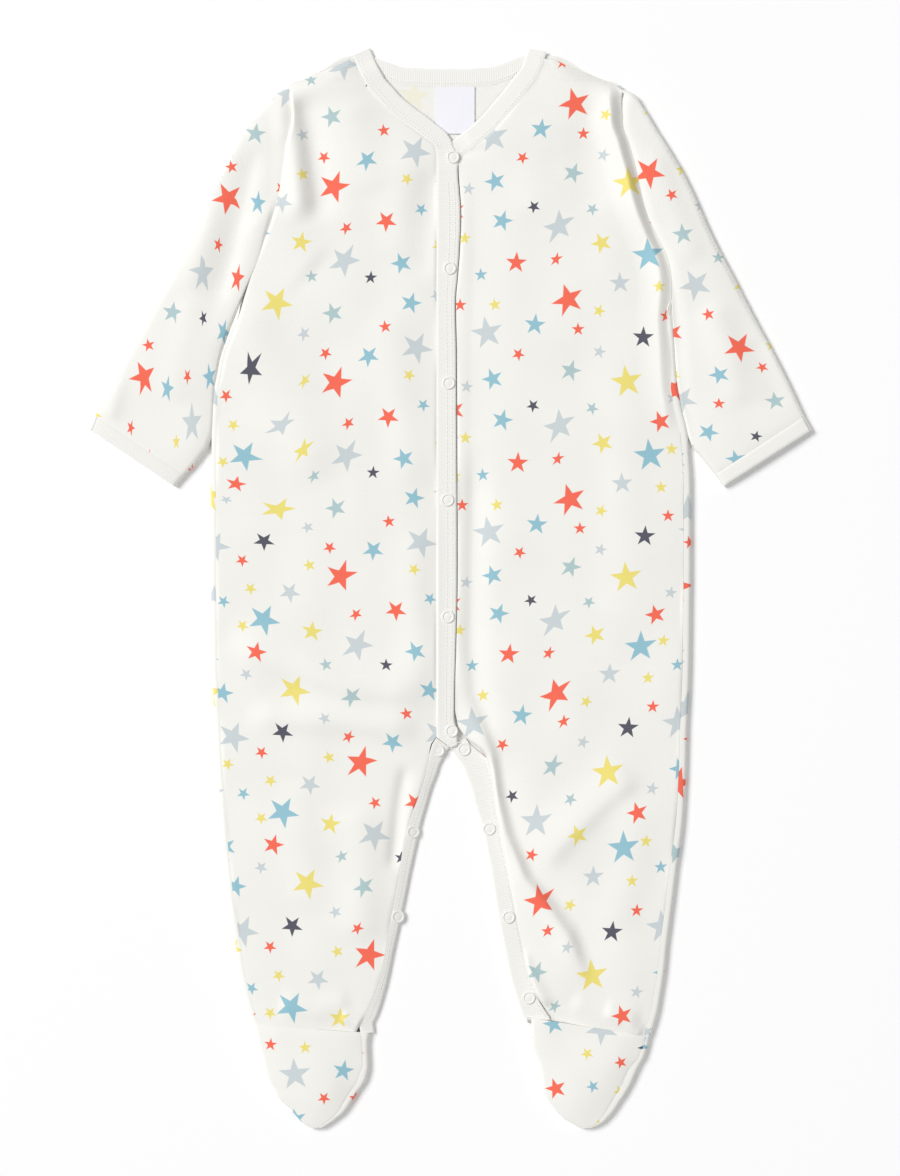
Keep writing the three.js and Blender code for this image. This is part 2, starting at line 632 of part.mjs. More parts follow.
const FOOT_EDGE_RUN = 16; // how far in from its sides a foot keeps rising
const TOE_RUN = 20; // and from its toe
const SOLE_TURN = 1.25; // the sole's plain side turns up less than upright, and the top comes down to it
const TOP_RADIUS = FOLD_RADIUS - GAP;
const footHeights = [ANKLE, -268, -275, -282, -289, -296, -302, -307, -311, -314.5, -317.5, TOE];
const footY = (y, x) => mix(ankleAt(x) - GAP, TOE, (ANKLE - y) / (ANKLE - TOE));
function soleRow(foot, y) {
  const near = curl(SOLE_TURN, SOLE_TURN * FOLD_RADIUS, FOLD_RADIUS, FOOT_CURL);
  const far = curl(Math.PI, stripLength(Math.PI, foot.lap(y), FOLD_RADIUS), FOLD_RADIUS, FOOT_CURL);
  const left = near.map(([into, up]) => [foot.left(y) + into, up]);
  const right = far.map(([into, up]) => [foot.right(y) - into, up]).reverse();
  const start = left[FOOT_CURL][0];
  const flat = steps(FOOT_FLAT).slice(1, -1).map((t) => [mix(start, right[0][0], t), 0]);
  return [...left, ...flat, ...right].map(([x, z]) => point(x, footY(y, x), z));
}
function footTopRow(foot, y) {
  const down = curl(Math.PI / 2, (Math.PI / 2) * TOP_RADIUS, TOP_RADIUS, FOOT_CURL);
  const left = foot.left(y);
  const right = foot.right(y) - foot.lap(y) - 2 * GAP;
  const start = left + down[FOOT_CURL][0];
  const flat = steps(FOOT_FLAT).slice(1).map((t) => [mix(start, right, t), 0]);
  return [...down.map(([into, drop]) => [left + into, drop]), ...flat].map(([x, drop]) => {
    const aside = Math.min(x - left, right - x);
    const crown = FOOT_CROWN * (1 - fall(aside, FOOT_EDGE_RUN)) * (1 - fall(y - TOE, TOE_RUN));
    return point(x, footY(y, x), TOP_OF[2] + crown - drop);
  });
}
for (const [name, foot] of Object.entries(FEET)) {
  add(`sole_${name}`, wall(footHeights.map((y) => soleRow(foot, y)), { faces: "down" }), COLOUR.cloth);
  add(`foot_top_${name}`, wall(footHeights.map((y) => footTopRow(foot, y))), COLOUR.cloth);
}

// The bare neck label, on the inside of the back
const labelRows = [LABEL.bottom, (LABEL.bottom + LABEL.top) / 2, LABEL.top];
const labelColumns = [LABEL.left, (LABEL.left + LABEL.right) / 2, LABEL.right];
const labelGrid = labelRows.map((y) => labelColumns.map((x) => point(x, y, LAYER + LABEL.thickness)));
add("neck_label", wall(labelGrid, { thickness: LABEL.thickness }), COLOUR.label, 0.7);

// Snaps: where each one is, and the upper face that it sits on
const SNAPS = {
  snap_front_1: [1.2, 255.5, TOP_OF[2]],
  snap_front_2: [-0.7, 189.6, TOP_OF[2]],
  snap_front_3: [-1.4, 121.6, TOP_OF[2]],
  snap_front_4: [-2.1, 52.3, TOP_OF[2]],
  snap_front_5: [-1.8, -16.9, TOP_OF[2]],
  snap_front_6: [0.4, -84.6, TOP_OF[2]],
  snap_crotch_right: [-7.6, -96.2, TOP_OF[1]],
  snap_crotch_left: [7.8, -95.6, TOP_OF[1]],
  snap_leg_right_1: [-22.2, -144.5, TOP_OF[1]],
  snap_leg_right_2: [-31.2, -194.8, TOP_OF[1]],
  snap_leg_left_1: [22.6, -142.7, TOP_OF[1]],
  snap_leg_left_2: [34.2, -195.1, TOP_OF[1]],
  snap_leg_left_3: [46.2, -242.9, TOP_OF[1]],
};
const snapProfile = [
  [SNAP_INNER, 0],
  [SNAP_OUTER, 0],
  [SNAP_OUTER, SNAP_HEIGHT - SNAP_BEVEL],
  [SNAP_OUTER - SNAP_BEVEL, SNAP_HEIGHT],
  [SNAP_INNER + SNAP_BEVEL, SNAP_HEIGHT],
  [SNAP_INNER, 0],
].map(([r, h]) => new THREE.Vector2(r, h));
for (const [name, [x, y, under]] of Object.entries(SNAPS)) {
  const snap = add(name, new THREE.LatheGeometry(snapProfile, SNAP_SIDES), COLOUR.snap, 0.3);
  snap.rotation.x = Math.PI / 2;
  snap.position.set(x, y, under + GAP);
}

// The origin is under the middle of the whole suit.
const extent = new THREE.Box3().setFromObject(suit);
const middle = extent.getCenter(new THREE.Vector3());
suit.position.set(-middle.x, -middle.y, -extent.min.z);

export default suit;
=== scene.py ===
# %% [markdown]
# # A footed baby sleepsuit, laid flat
# The suit lies on its back with its snaps shut, seen from straight above. On the real one each panel is
# cut from a knit and sewn; here each panel is one thin sheet of points, worked out in numpy from the same
# outlines as the solids, and thickened by a Solidify modifier. Nothing is simulated: the folds in such a
# flat lay are few and known, so they are placed where they show.

# %% Load the frame
import math

import bpy
import numpy as np
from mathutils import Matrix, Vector


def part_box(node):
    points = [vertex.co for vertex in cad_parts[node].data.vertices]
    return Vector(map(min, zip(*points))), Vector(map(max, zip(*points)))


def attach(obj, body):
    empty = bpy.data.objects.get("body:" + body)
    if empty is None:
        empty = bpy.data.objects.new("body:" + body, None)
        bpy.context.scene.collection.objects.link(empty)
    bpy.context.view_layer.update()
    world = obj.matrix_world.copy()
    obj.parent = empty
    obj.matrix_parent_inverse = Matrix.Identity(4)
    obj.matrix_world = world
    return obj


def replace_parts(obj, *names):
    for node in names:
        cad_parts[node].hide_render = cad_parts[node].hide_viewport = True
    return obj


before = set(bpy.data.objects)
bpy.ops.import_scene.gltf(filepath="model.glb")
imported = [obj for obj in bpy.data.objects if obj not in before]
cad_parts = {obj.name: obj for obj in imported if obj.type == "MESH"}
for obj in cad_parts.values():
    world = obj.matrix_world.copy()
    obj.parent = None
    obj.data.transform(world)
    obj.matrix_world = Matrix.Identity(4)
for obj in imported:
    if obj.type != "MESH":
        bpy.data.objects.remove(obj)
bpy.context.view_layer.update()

MM = 0.001

# %% [markdown]
# ## Where the measurements start
# The outlines below are in millimetres from a point near the middle of the suit, with y up the body. The
# solids were then centred on their own box, so everything is moved by the little that this took, read off
# one snap whose place is known.

# %% The shift from the tables to the frame
SNAP_KNOWN = np.array([1.2, 255.5])
snap_low, snap_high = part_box("snap_front_1")
SHIFT = np.append((np.array(snap_low) + np.array(snap_high))[:2] / 2 / MM - SNAP_KNOWN, 0.0)
print("shift in mm", SHIFT.round(2).tolist())

# %% [markdown]
# ## The camera comes first
# The photograph looks straight down from far enough that the suit hardly shows any perspective. A longer
# lens stands for that distance: 85 mm on a 36 mm sensor sees 697 mm of table from 1.65 m up.

# %% Camera
VIEW_HEIGHT = 697.0  # mm of table along the long side of the picture
LENS = 85.0
SENSOR = 36.0
VIEW_CENTRE = np.array([-0.5, 0.1, 4.0])  # what the picture's middle looks at, in table millimetres

camera_data = bpy.data.cameras.new("camera")
camera_data.lens = LENS
camera_data.sensor_width = SENSOR
camera = bpy.data.objects.new("camera", camera_data)
bpy.context.scene.collection.objects.link(camera)
camera.location = (VIEW_CENTRE + SHIFT + [0, 0, VIEW_HEIGHT * LENS / SENSOR]) * MM
bpy.context.scene.camera = camera
print("camera at", [round(c, 3) for c in camera.location])

# %% [markdown]
# ## Curves through tables
# Every outline is a short table of heights and places. A smooth curve through the rows turns it into a
# shape. Splines overshoot at corners, so this one uses the harmonic mean of the two slopes at each row,
# which never leaves the range of its neighbours.

# %% Smooth curves
def smooth(at, values):
    """A curve through the values: cubic pieces whose slope at each row is the harmonic mean of the slopes
    on its two sides, or zero where they differ in sign. It works on whole arrays."""
    at = np.asarray(at, float)
    values = np.asarray(values, float)
    step = np.diff(values) / np.diff(at)
    before = np.append(step[:1], step)
    after = np.append(step, step[-1:])
    same = before * after > 0
    slope = np.where(same, 2 * before * after / np.where(same, before + after, 1), 0)

    def curve(x):
        x = np.clip(x, at[0], at[-1])
        i = np.clip(np.searchsorted(at, x) - 1, 0, len(at) - 2)
        run = at[i + 1] - at[i]
        t = (x - at[i]) / run
        left = values[i] + slope[i] * run * t
        right = values[i + 1] - slope[i + 1] * run * (1 - t)
        return mix(left, right, soft_step(t))

    return curve


def table(columns, rows):
    """One curve for each named column, over the first column."""
    rows = np.array(sorted(rows))
    return {name: smooth(rows[:, 0], rows[:, k]) for k, name in enumerate(columns)}


def mix(a, b, t):
    return a + (b - a) * t


def stacked(*parts):
    """Arrays of x, y and so on as one array of points, its last axis the coordinates."""
    return np.stack(np.broadcast_arrays(*parts), axis=-1)


def side_by_side(*parts):
    """Grids joined column to column."""
    return np.concatenate(parts, axis=1)


def travelled(points):
    """Running length along a line of points, from 0 at its first."""
    return np.append(0, np.cumsum(np.linalg.norm(np.diff(points, axis=0), axis=-1)))


def soft_step(t):
    """0 up to t = 0, 1 from t = 1 on, and a smooth rise between them: t squared times (3 - 2t)."""
    t = np.clip(t, 0, 1)
    return t * t * (3 - 2 * t)


def fall(distance, run):
    """1 at an edge, going down as a square to 0 at the run's far end."""
    return np.clip(1 - np.maximum(distance, 0) / run, 0, None) ** 2


# %% The suit's own sizes, in millimetres
TOP_OF = [1.2, 2.7, 4.2]  # upper face of the first, second and third layer of cloth
GAP = 0.3
FOLD_RADIUS = 2.1  # of the cloth where it turns round a side
CROWN = 0.7  # how much higher a front is in its middle than at its edges
SLEEVE_CROWN = 1.0
FOOT_CROWN = 1.6
EDGE_RUN = 26.0  # in which a front rises to its crown
SHOULDER_RUN = 12.0  # in which it comes down to the shoulder's fold
LAP = {-1: 2.9, 1: 4.4}  # how far the back wraps over to the front, by side
UNDERARM = 187.0
WRAPPED_BELOW = 158.0
CROTCH_TOP = -85.6
CROTCH_HALF = 3.0
LEG_BAND_WIDTH = 9.0
ANKLE = -260.0
TOE = -320.0
CLOTH = 0.9  # thickness of the interlock
RIB = 1.0  # and of the rib

# %% [markdown]
# ## The outlines
# The body's sides, the sewn edges of the two fronts and the open line of the legs, read off the picture
# at the heights where they turn. On both sides the back is cut wider and wraps round to the front, so the
# side seams lie a few millimetres in.

# %% Outlines of the body
BODY = table(
    ["y", -1, 1],
    [
        (316, -57, 57.5), (312, -63, 64.5), (307, -74.5, 75.8), (302, -86, 88.4), (297, -96.5, 100),
        (290, -95.6, 97.6), (280, -94.6, 96.4),
        (264, -97.6, 100.2), (245, -100.2, 105.6), (228, -103.6, 109.9), (211, -109, 116.8),
        (187, -117.5, 127), (153, -131.5, 132.1), (126, -139.2, 133.9), (108, -141.4, 136.7),
        (86, -142, 141), (47, -142.2, 142.4), (-35, -141.6, 141.9), (-82, -139.8, 140.3),
        (-120, -137.4, 139), (-170, -133.2, 133.6), (-210, -127.8, 128.6), (-240, -122.4, 124.8),
        (-262, -116, 118),
    ],
)
FRONT_EDGE = {
    -1: table(
        ["y", "x", "z"],
        [
            (320, -59.8, 2.7), (314.5, -57.4, 2.7), (301, -51.2, 4.2), (289, -42.1, 4.2), (276.4, -28.5, 4.2),
            (267.4, -16.2, 4.2), (260, -9, 4.2), (254, -8.5, 4.2), (-87, -8.5, 4.2), (-92.6, -11.8, 4.2),
            (-101.7, -13.4, 4.2), (-120, -18, 4.2), (-145, -26.6, 4.2), (-172, -31.2, 4.2),
            (-195, -35.6, 4.2), (-212, -38.4, 4.2), (-232, -42.5, 4.2), (-250, -50.5, 4.2),
            (-263, -57.8, 4.2),
        ],
    ),
    1: table(
        ["y", "x", "z"],
        [
            (320, 57.2, 2.7), (314.5, 55.2, 2.7), (307, 52.9, 3.5), (294.6, 44.7, 4.2), (280, 33, 4.2),
            (266.4, 20, 4.2), (262.5, 15, 4.2), (258, 8.6, 2.7), (252, 4.6, 3.4), (236, 5.4, 3.4),
            (222, 6.2, 3.4), (204, 5.6, 3.4), (184, 4.2, 3.5), (168, 3.1, 3.8), (140, 3.6, 3.8),
            (74, 3.9, 3.8), (20, 4.1, 3.6), (-35, 3.2, 3.4), (-68, 2.5, 3.4), (-78, 3.6, 3.4),
            (-88.4, 9.1, 2.7),
            (-93.9, 15.5, 2.7), (-100.3, 21, 2.7), (-115.7, 24.4, 2.7), (-135, 27, 2.7),
            (-180, 35.9, 2.7), (-212, 42.3, 2.7), (-235, 47.8, 2.7), (-257, 59.5, 2.7),
        ],
    ),
}
INSEAM = table(
    ["y", -1, 1],
    [
        (-95.4, -0.6, 0.6), (-98.8, -4.3, 3.9), (-107.7, -8.2, 8.7), (-125.5, -14.2, 14.3),
        (-152, -20.9, 21.2), (-188, -28.4, 27.3), (-214, -34.1, 32.3), (-241, -40.2, 39),
        (-262, -47.9, 48.1),
    ],
)
BACK_TOP = table(
    ["x", "y"],
    [
        (-97.5, 297), (-77, 307), (-57, 316), (-47, 309.6), (-38, 301.9), (-21, 298.4), (0, 297.8),
        (18, 298.4), (33, 301.6), (47, 310.4), (57, 316.3), (79, 307), (100, 297),
    ],
)["y"]
ANKLE_SEAM = {-1: [(-110, -258.8), (-58, -262.8)], 1: [(59.7, -256.5), (114.7, -265)]}


def ankle_at(x):
    """Height of the ankle seam: a straight line through two points on each leg."""
    lines = []
    for side in (-1, 1):
        (x0, y0), (x1, y1) = ANKLE_SEAM[side]
        lines.append(mix(y0, y1, (x - x0) / (x1 - x0)))
    return np.where(x < 0, lines[0], lines[1])


SKEW_FROM = -240.0


def row_y(y, x):
    """Rows near the ankle turn little by little from level to the slope of the ankle seam."""
    return np.where(y > SKEW_FROM, y, mix(SKEW_FROM, ankle_at(x), (SKEW_FROM - y) / (SKEW_FROM - ANKLE)))


print("widest in mm", round(float(BODY[1](47) - BODY[-1](47)), 1))

# %% [markdown]
# ## The folds
# Jersey that has been laid down by hand keeps a few soft rolls and troughs: beside the snap placket, where
# the leg turns from the crotch, across the hip and down each sleeve. Each is a path in plan with a width to
# either side and a height, and its cross-section is a bell that is steeper on one side. A bell is used
# rather than a simulation because a simulation would put its folds somewhere else.

# %% The folds
FOLDS = [
    # path, width on its left, width on its right (seen along the path), height
    # beside the snap placket
    ([(15, 250), (15, 195), (13, 140), (13, 90), (14, 60)], 11, 5, -0.6),
    ([(14, 90), (14, 40), (13, 0), (12.5, -35), (15, -62), (21, -82), (29, -98)], 9, 5.5, -2.1),
    ([(-22, 262), (-30, 226), (-36, 190)], 11, 12, 0.9),
    ([(-12, 250), (-14, 215), (-18, 180)], 7, 9, -0.8),
    ([(-20, 40), (-21, 0), (-19, -40), (-22, -74)], 9, 10, 0.9),
    # from the crotch down the leg on the viewer's right
    ([(11, -62), (18, -84), (23.5, -100), (26.5, -123), (32, -146), (43, -172), (55, -186), (69, -206),
      (82, -238)], 3.6, 8, 2.6),
    ([(26, -84), (31, -100), (34.5, -123), (40.5, -146), (51, -170), (62, -180), (76, -198), (90, -236)],
     13, 5, -1.4),
    ([(112, -108), (90, -126), (70, -146), (52, -166)], 7, 14, 1.9),
    ([(40, -214), (45, -228), (52, -240), (58, -252)], 5, 5, 2.0),
    ([(112, -120), (108, -165), (96, -205)], 12, 12, 0.9),
    # across the hip on the viewer's left
    ([(-136, -30), (-100, -45), (-62, -58), (-14, -64)], 13, 8, 2.2),
    ([(-124, -76), (-62, -79), (-16, -84)], 9, 8, 2.1),
    ([(-128, 176), (-108, 132), (-88, 90), (-74, 60)], 17, 18, 1.5),
    ([(-40, 172), (-31, 110), (-22, 52)], 12, 12, 1.0),
    # down the leg on the viewer's left
    ([(-56, -124), (-52, -160), (-53, -214)], 12, 14, 1.5),
    ([(-26, -102), (-30.5, -128), (-32, -142), (-35, -170)], 5, 4, -1.6),
    ([(-66, -252), (-58, -254.5), (-50, -258), (-46, -262)], 3, 2.5, 1.6),
    ([(90, -249), (103, -254), (114, -262)], 5, 3, 1.4),
    ([(-92, -110), (-90, -150), (-84, -196)], 12, 14, 0.9),
    # the armholes and the shoulders
    ([(-99, 300), (-95, 279), (-92.5, 262), (-91, 237), (-89, 214)], 8, 8, 3.2),
    ([(-90, 296), (-84, 270), (-81, 250), (-79, 236), (-77, 214)], 11, 7.5, -2.2),
    ([(-116, 226), (-98, 206), (-78, 188)], 12, 18, 1.2),
    ([(-60, 292), (-52, 262), (-44, 232)], 12, 12, 0.8),
    ([(84, 292), (82, 258), (88, 222)], 10, 12, -1.0),
    ([(58, 282), (50, 250), (46, 214)], 12, 12, 0.7),
    ([(110, 120), (104, 60), (108, 0)], 14, 14, 0.7),
    # the sleeves
    ([(-115, 266), (-121, 240), (-127, 211), (-135, 182), (-143, 164)], 6, 9, -1.6),
    ([(-142, 236), (-149, 206), (-158, 172)], 8, 9, 0.8),
    ([(-150, 178), (-160, 140), (-166, 106)], 10, 10, 0.9),
    ([(-196, 128), (-200, 112), (-203, 98)], 5, 5, 1.1),
    ([(118, 262), (132, 226), (146, 190)], 8, 10, 1.0),
    ([(152, 172), (166, 136), (172, 104)], 9, 10, 1.2),
    ([(182, 150), (190, 126), (196, 104)], 7, 8, -0.8),
    # above the feet
    ([(-58, -244), (-80, -250), (-104, -247)], 6, 7, 1.1),
    ([(70, -244), (90, -251), (114, -254)], 6, 7, 1.1),
]
WRINKLES = 26  # faint waves in the cloth, from 30 to 90 mm long
FOLD_DEPTH = 1.2  # all the folds are this much higher than tabled
FOLD_FADE = 0.18  # share of a fold's length in which each of its ends fades
WRINKLE_HEIGHT = 0.38
waves = np.random.default_rng(7)
WAVE_TURN = waves.uniform(0, math.pi, WRINKLES)
WAVE_LENGTH = waves.uniform(30, 90, WRINKLES)
WAVE_START = waves.uniform(0, 2 * math.pi, WRINKLES)


def bell(x, y, path, left, right):
    """A bell of height 1 along a path, narrower or wider on its two sides and fading at both ends:
    exp(-(d / width) squared), where d is the distance to the path and a smooth step fades the ends."""
    points = np.array(path, float)
    start = travelled(points)
    lengths = np.diff(start)
    nearest = np.full(x.shape, np.inf)
    signed = np.zeros(x.shape)
    along = np.zeros(x.shape)
    for (ax, ay), (bx, by), length, before in zip(points[:-1], points[1:], lengths, start):
        t = np.clip(((x - ax) * (bx - ax) + (y - ay) * (by - ay)) / length**2, 0, 1)
        dx = x - ax - t * (bx - ax)
        dy = y - ay - t * (by - ay)
        distance = np.hypot(dx, dy)
        closer = distance < nearest
        nearest = np.where(closer, distance, nearest)
        signed = np.where(closer, (bx - ax) * dy - (by - ay) * dx, signed)
        along = np.where(closer, (before + t * length) / start[-1], along)
    ends = soft_step(np.minimum(along, 1 - along) / FOLD_FADE)
    return np.exp(-((nearest / np.where(signed > 0, left, right)) ** 2)) * ends


def relief(x, y):
    """Height that the folds and the faint waves add to the cloth at a place in plan."""
    total = np.zeros(np.broadcast(x, y).shape)
    x, y = np.broadcast_arrays(x, y)
    for path, left, right, height in FOLDS:
        total = total + FOLD_DEPTH * height * bell(x, y, path, left, right)
    for turn, length, start in zip(WAVE_TURN, WAVE_LENGTH, WAVE_START):
        phase = (x * math.cos(turn) + y * math.sin(turn)) / length * 2 * math.pi + start
        total = total + WRINKLE_HEIGHT * np.sin(phase) / math.sqrt(WRINKLES)
    return total


print("folds", len(FOLDS))

# %% [markdown]
# ## Colours and nodes
# Colours are written as they look on screen and turned to the linear values that Blender mixes. One small
# function adds a shader node with its settings and its links, so that a material reads as a list.

# %% Colour and node helpers
def linear(hexcode):
    """sRGB hex to linear RGBA: the low end divides by 12.92, the rest is a power of 2.4."""
    srgb = np.array([int(hexcode[i : i + 2], 16) for i in (1, 3, 5)]) / 255
    rgb = np.where(srgb <= 0.04045, srgb / 12.92, ((srgb + 0.055) / 1.055) ** 2.4)
    return (*rgb.tolist(), 1.0)


def add_node(tree, kind, settings=(), **inputs):
    """Adds a shader node. settings are its own properties. Each input is a value, an output of another
    node, or another node, whose first output is meant."""
    node = tree.nodes.new("ShaderNode" + kind)
    for name, value in dict(settings).items():
        setattr(node, name, value)
    for name, value in inputs.items():
        key = int(name[1:]) if name[1:].isdigit() else name.replace("_", " ")
        value = value.outputs[0] if isinstance(value, bpy.types.Node) else value
        if isinstance(value, bpy.types.NodeSocket):
            tree.links.new(value, node.inputs[key])
        else:
            node.inputs[key].default_value = value
    return node


def new_material(name):
    """An empty node material with its Principled shader, ready to be linked."""
    material = bpy.data.materials.new(name)
    material.use_nodes = True
    tree = material.node_tree
    shader = tree.nodes["Principled BSDF"]
    shader.inputs["IOR"].default_value = 1.5
    return material, tree, shader


def finish(tree, shader, colour, bump, **constants):
    """Links a mixed colour and a bump to the shader and sets constants on its own sockets."""
    tree.links.new(colour.outputs[2], shader.inputs["Base Color"])
    tree.links.new(bump.outputs[0], shader.inputs["Normal"])
    for socket, value in constants.items():
        shader.inputs[socket.replace("_", " ")].default_value = value


# %% [markdown]
# ## The printed interlock
# Interlock is a fine double jersey: matt, slightly napped cotton with a stitch about 0.9 mm wide. The stars
# are screen printed on it, so the knit shows through them and their edges are crisp. A shader can't hold a
# list of stars cheaply. Instead each small face of a sheet is given to its nearest star, and its corners
# carry that star's own coordinates as a UV map and its colour as an attribute. The shader then only draws
# one five-pointed star: the angle is folded into a tenth of a turn, and one straight line from a tip to an
# inner corner cuts ink from cloth.

# %% Printed interlock
INNER_RATIO = 0.39  # inner corners of a star, as a share of its tips' reach
INK_EDGE = 0.02  # softness of the ink's edge, in star radii
KNIT_PITCH = 1.25  # mm; the real stitch is 0.9 mm, drawn coarser so that it shows at this distance
ROW_SHARE = 0.8  # the knit's rows are this much closer together than its columns
KNIT_HEIGHT = 0.05  # mm
INK_LEAST = 0.96  # how much of the ink covers the furrows of the knit
INK_THROUGH = 0.2  # how much of it shows on the cloth's wrong side
MOTTLE_SCALE = 55.0  # of a noise in metres: clouds about 18 mm wide in the cloth's white


def star_mask(tree, uv):
    """1 inside the star whose tips reach a radius of 1, with one tip up."""
    parts = add_node(tree, "SeparateXYZ", Vector=uv)
    angle = add_node(tree, "Math", {"operation": "ARCTAN2"}, _0=parts.outputs[0], _1=parts.outputs[1])
    folded = add_node(tree, "Math", {"operation": "PINGPONG"}, _0=angle, _1=math.pi / 5)
    reach = add_node(tree, "VectorMath", {"operation": "LENGTH"}, _0=uv)
    across = add_node(tree, "Math", {"operation": "SINE"}, _0=folded)
    up = add_node(tree, "Math", {"operation": "COSINE"}, _0=folded)
    corner_x = INNER_RATIO * math.sin(math.pi / 5)
    corner_y = INNER_RATIO * math.cos(math.pi / 5)
    length = math.hypot(1 - corner_y, corner_x)
    side = add_node(tree, "Math", {"operation": "MULTIPLY"}, _0=across, _1=(1 - corner_y) / length)
    rise = add_node(tree, "Math", {"operation": "MULTIPLY_ADD"}, _0=up, _1=corner_x / length, _2=side)
    beyond = add_node(tree, "Math", {"operation": "MULTIPLY"}, _0=rise, _1=reach.outputs[1])
    return add_node(tree, "MapRange", {"clamp": True}, Value=beyond,
                    From_Min=corner_x / length + INK_EDGE, From_Max=corner_x / length - INK_EDGE)


def wave_scale(pitch):
    """Scale of a wave texture for stripes this far apart: Blender's own is 2 pi / 20 to a stripe."""
    return math.pi / 10 / pitch


def knit_bump(tree):
    """Two crossed waves over the cloth's own UV map in millimetres: the knit's columns and its rows."""
    cloth_uv = add_node(tree, "UVMap", {"uv_map": "cloth"})
    columns = add_node(tree, "TexWave", {"bands_direction": "X"}, Vector=cloth_uv,
                       Scale=wave_scale(KNIT_PITCH), Distortion=1.2, Detail=2.0, Detail_Scale=1.5)
    rows = add_node(tree, "TexWave", {"bands_direction": "Y"}, Vector=cloth_uv,
                    Scale=wave_scale(KNIT_PITCH * ROW_SHARE), Distortion=1.6, Detail=2.0, Detail_Scale=1.5)
    both = add_node(tree, "Math", {"operation": "MULTIPLY"}, _0=columns.outputs["Fac"],
                    _1=rows.outputs["Fac"])
    return both, add_node(tree, "Bump", Strength=1.0, Distance=KNIT_HEIGHT * MM, Height=both)


def printed_interlock(name, ink_share):
    """Interlock with stars. ink_share is how strongly the ink shows, 1 on the right side of the cloth."""
    material, tree, shader = new_material(name)
    mask = star_mask(tree, add_node(tree, "UVMap", {"uv_map": "star"}))
    ink = add_node(tree, "Attribute", {"attribute_name": "ink"})
    stitches, bump = knit_bump(tree)
    worn = add_node(tree, "Math", {"operation": "MULTIPLY_ADD"}, _0=stitches, _1=1 - INK_LEAST, _2=INK_LEAST)
    amount = add_node(tree, "Math", {"operation": "MULTIPLY"}, _0=mask, _1=worn)
    share = add_node(tree, "Math", {"operation": "MULTIPLY"}, _0=amount, _1=ink_share)
    place = add_node(tree, "TexCoord")
    mottle = add_node(tree, "TexNoise", Vector=place.outputs["Object"], Scale=MOTTLE_SCALE, Detail=3.0)
    pale = add_node(tree, "Mix", {"data_type": "RGBA"}, _0=mottle, _6=linear("#F4F3EF"), _7=linear("#F1F0EA"))
    colour = add_node(tree, "Mix", {"data_type": "RGBA"}, _0=share, _6=pale.outputs[2], _7=ink)
    finish(tree, shader, colour, bump, Roughness=0.92, Sheen_Weight=0.05, Specular_IOR_Level=0.25)
    return material


INTERLOCK = printed_interlock("printed cotton interlock, right side", 1.0)
INTERLOCK_INSIDE = printed_interlock("printed cotton interlock, wrong side", INK_THROUGH)
print("materials", [m.name for m in (INTERLOCK, INTERLOCK_INSIDE)])

# %% [markdown]
# ## Rib, thread, snap and label
# The trims are 1 by 1 rib: a ridge and a furrow every 1.3 mm, running across each band, drawn here with one
# sine wave along the band. Thread is mercerised cotton and a little brighter. The ring snaps are lacquered
# and smooth. The label is a bare satin weave. On each trim the pattern that raises it also paints its
# hollows a darker tone, as painted shade, and its tops a lighter one.

# %% Trim materials
RIB_PITCH = 1.3
PLY_PITCH = 0.5  # mm between the slanting stripes of the thread's two plies
WEFT_PITCH = 0.7  # mm; the real weft is 0.4 mm, drawn coarser so that it shows


def hollow_shaded_trim(name, pattern, hollow_and_top_tones, strength, height, **constants):
    """A trim whose pattern raises it, in mm, and moves its colour between two tones: the darker one lies in
    its hollows as painted shade. pattern is a function of the node tree that gives the height and the share
    of the second, lighter tone."""
    material, tree, shader = new_material(name)
    raised, share = pattern(tree)
    bump = add_node(tree, "Bump", Strength=strength, Distance=height * MM, Height=raised)
    colour = add_node(tree, "Mix", {"data_type": "RGBA"}, _0=share, _6=linear(hollow_and_top_tones[0]), _7=linear(hollow_and_top_tones[1]))
    finish(tree, shader, colour, bump, **constants)
    return material


def ridges(tree):
    """Rib: one sine wave along the band, which is u of its own UV map in millimetres."""
    along = add_node(tree, "SeparateXYZ", Vector=add_node(tree, "UVMap", {"uv_map": "cloth"}))
    turn = add_node(tree, "Math", {"operation": "MULTIPLY"}, _0=along, _1=2 * math.pi / RIB_PITCH)
    ridge = add_node(tree, "Math", {"operation": "SINE"}, _0=turn)
    # the share of the lighter tone follows the ridge, so the furrows take the painted shade
    return ridge, add_node(tree, "MapRange", Value=ridge, From_Min=-1.0, From_Max=1.0)


def plies(tree):
    """Thread: slanting stripes in Object coordinates."""
    place = add_node(tree, "TexCoord")
    wave = add_node(tree, "TexWave", {"bands_direction": "DIAGONAL"}, Vector=place.outputs["Object"],
                    Scale=wave_scale(PLY_PITCH * MM), Distortion=0.5)
    # the same value is the share of the lighter tone: painted shade between the plies
    return wave.outputs["Fac"], wave.outputs["Fac"]


def orange_peel(tree):
    """Lacquer: a very fine noise in Object coordinates, with lumps about 1 mm wide."""
    place = add_node(tree, "TexCoord")
    peel = add_node(tree, "TexNoise", Vector=place.outputs["Object"], Scale=900.0, Detail=2.0)
    # the same value is the share of the lighter tone: painted shade in the low places of the peel
    return peel, peel


def weft(tree):
    """Satin: fine floats across the label."""
    cloth_uv = add_node(tree, "UVMap", {"uv_map": "cloth"})
    wave = add_node(tree, "TexWave", {"bands_direction": "Y"}, Vector=cloth_uv,
                    Scale=wave_scale(WEFT_PITCH), Distortion=0.6, Detail=2.0)
    # the same value is the share of the lighter tone: painted shade between the floats
    return wave.outputs["Fac"], wave.outputs["Fac"]
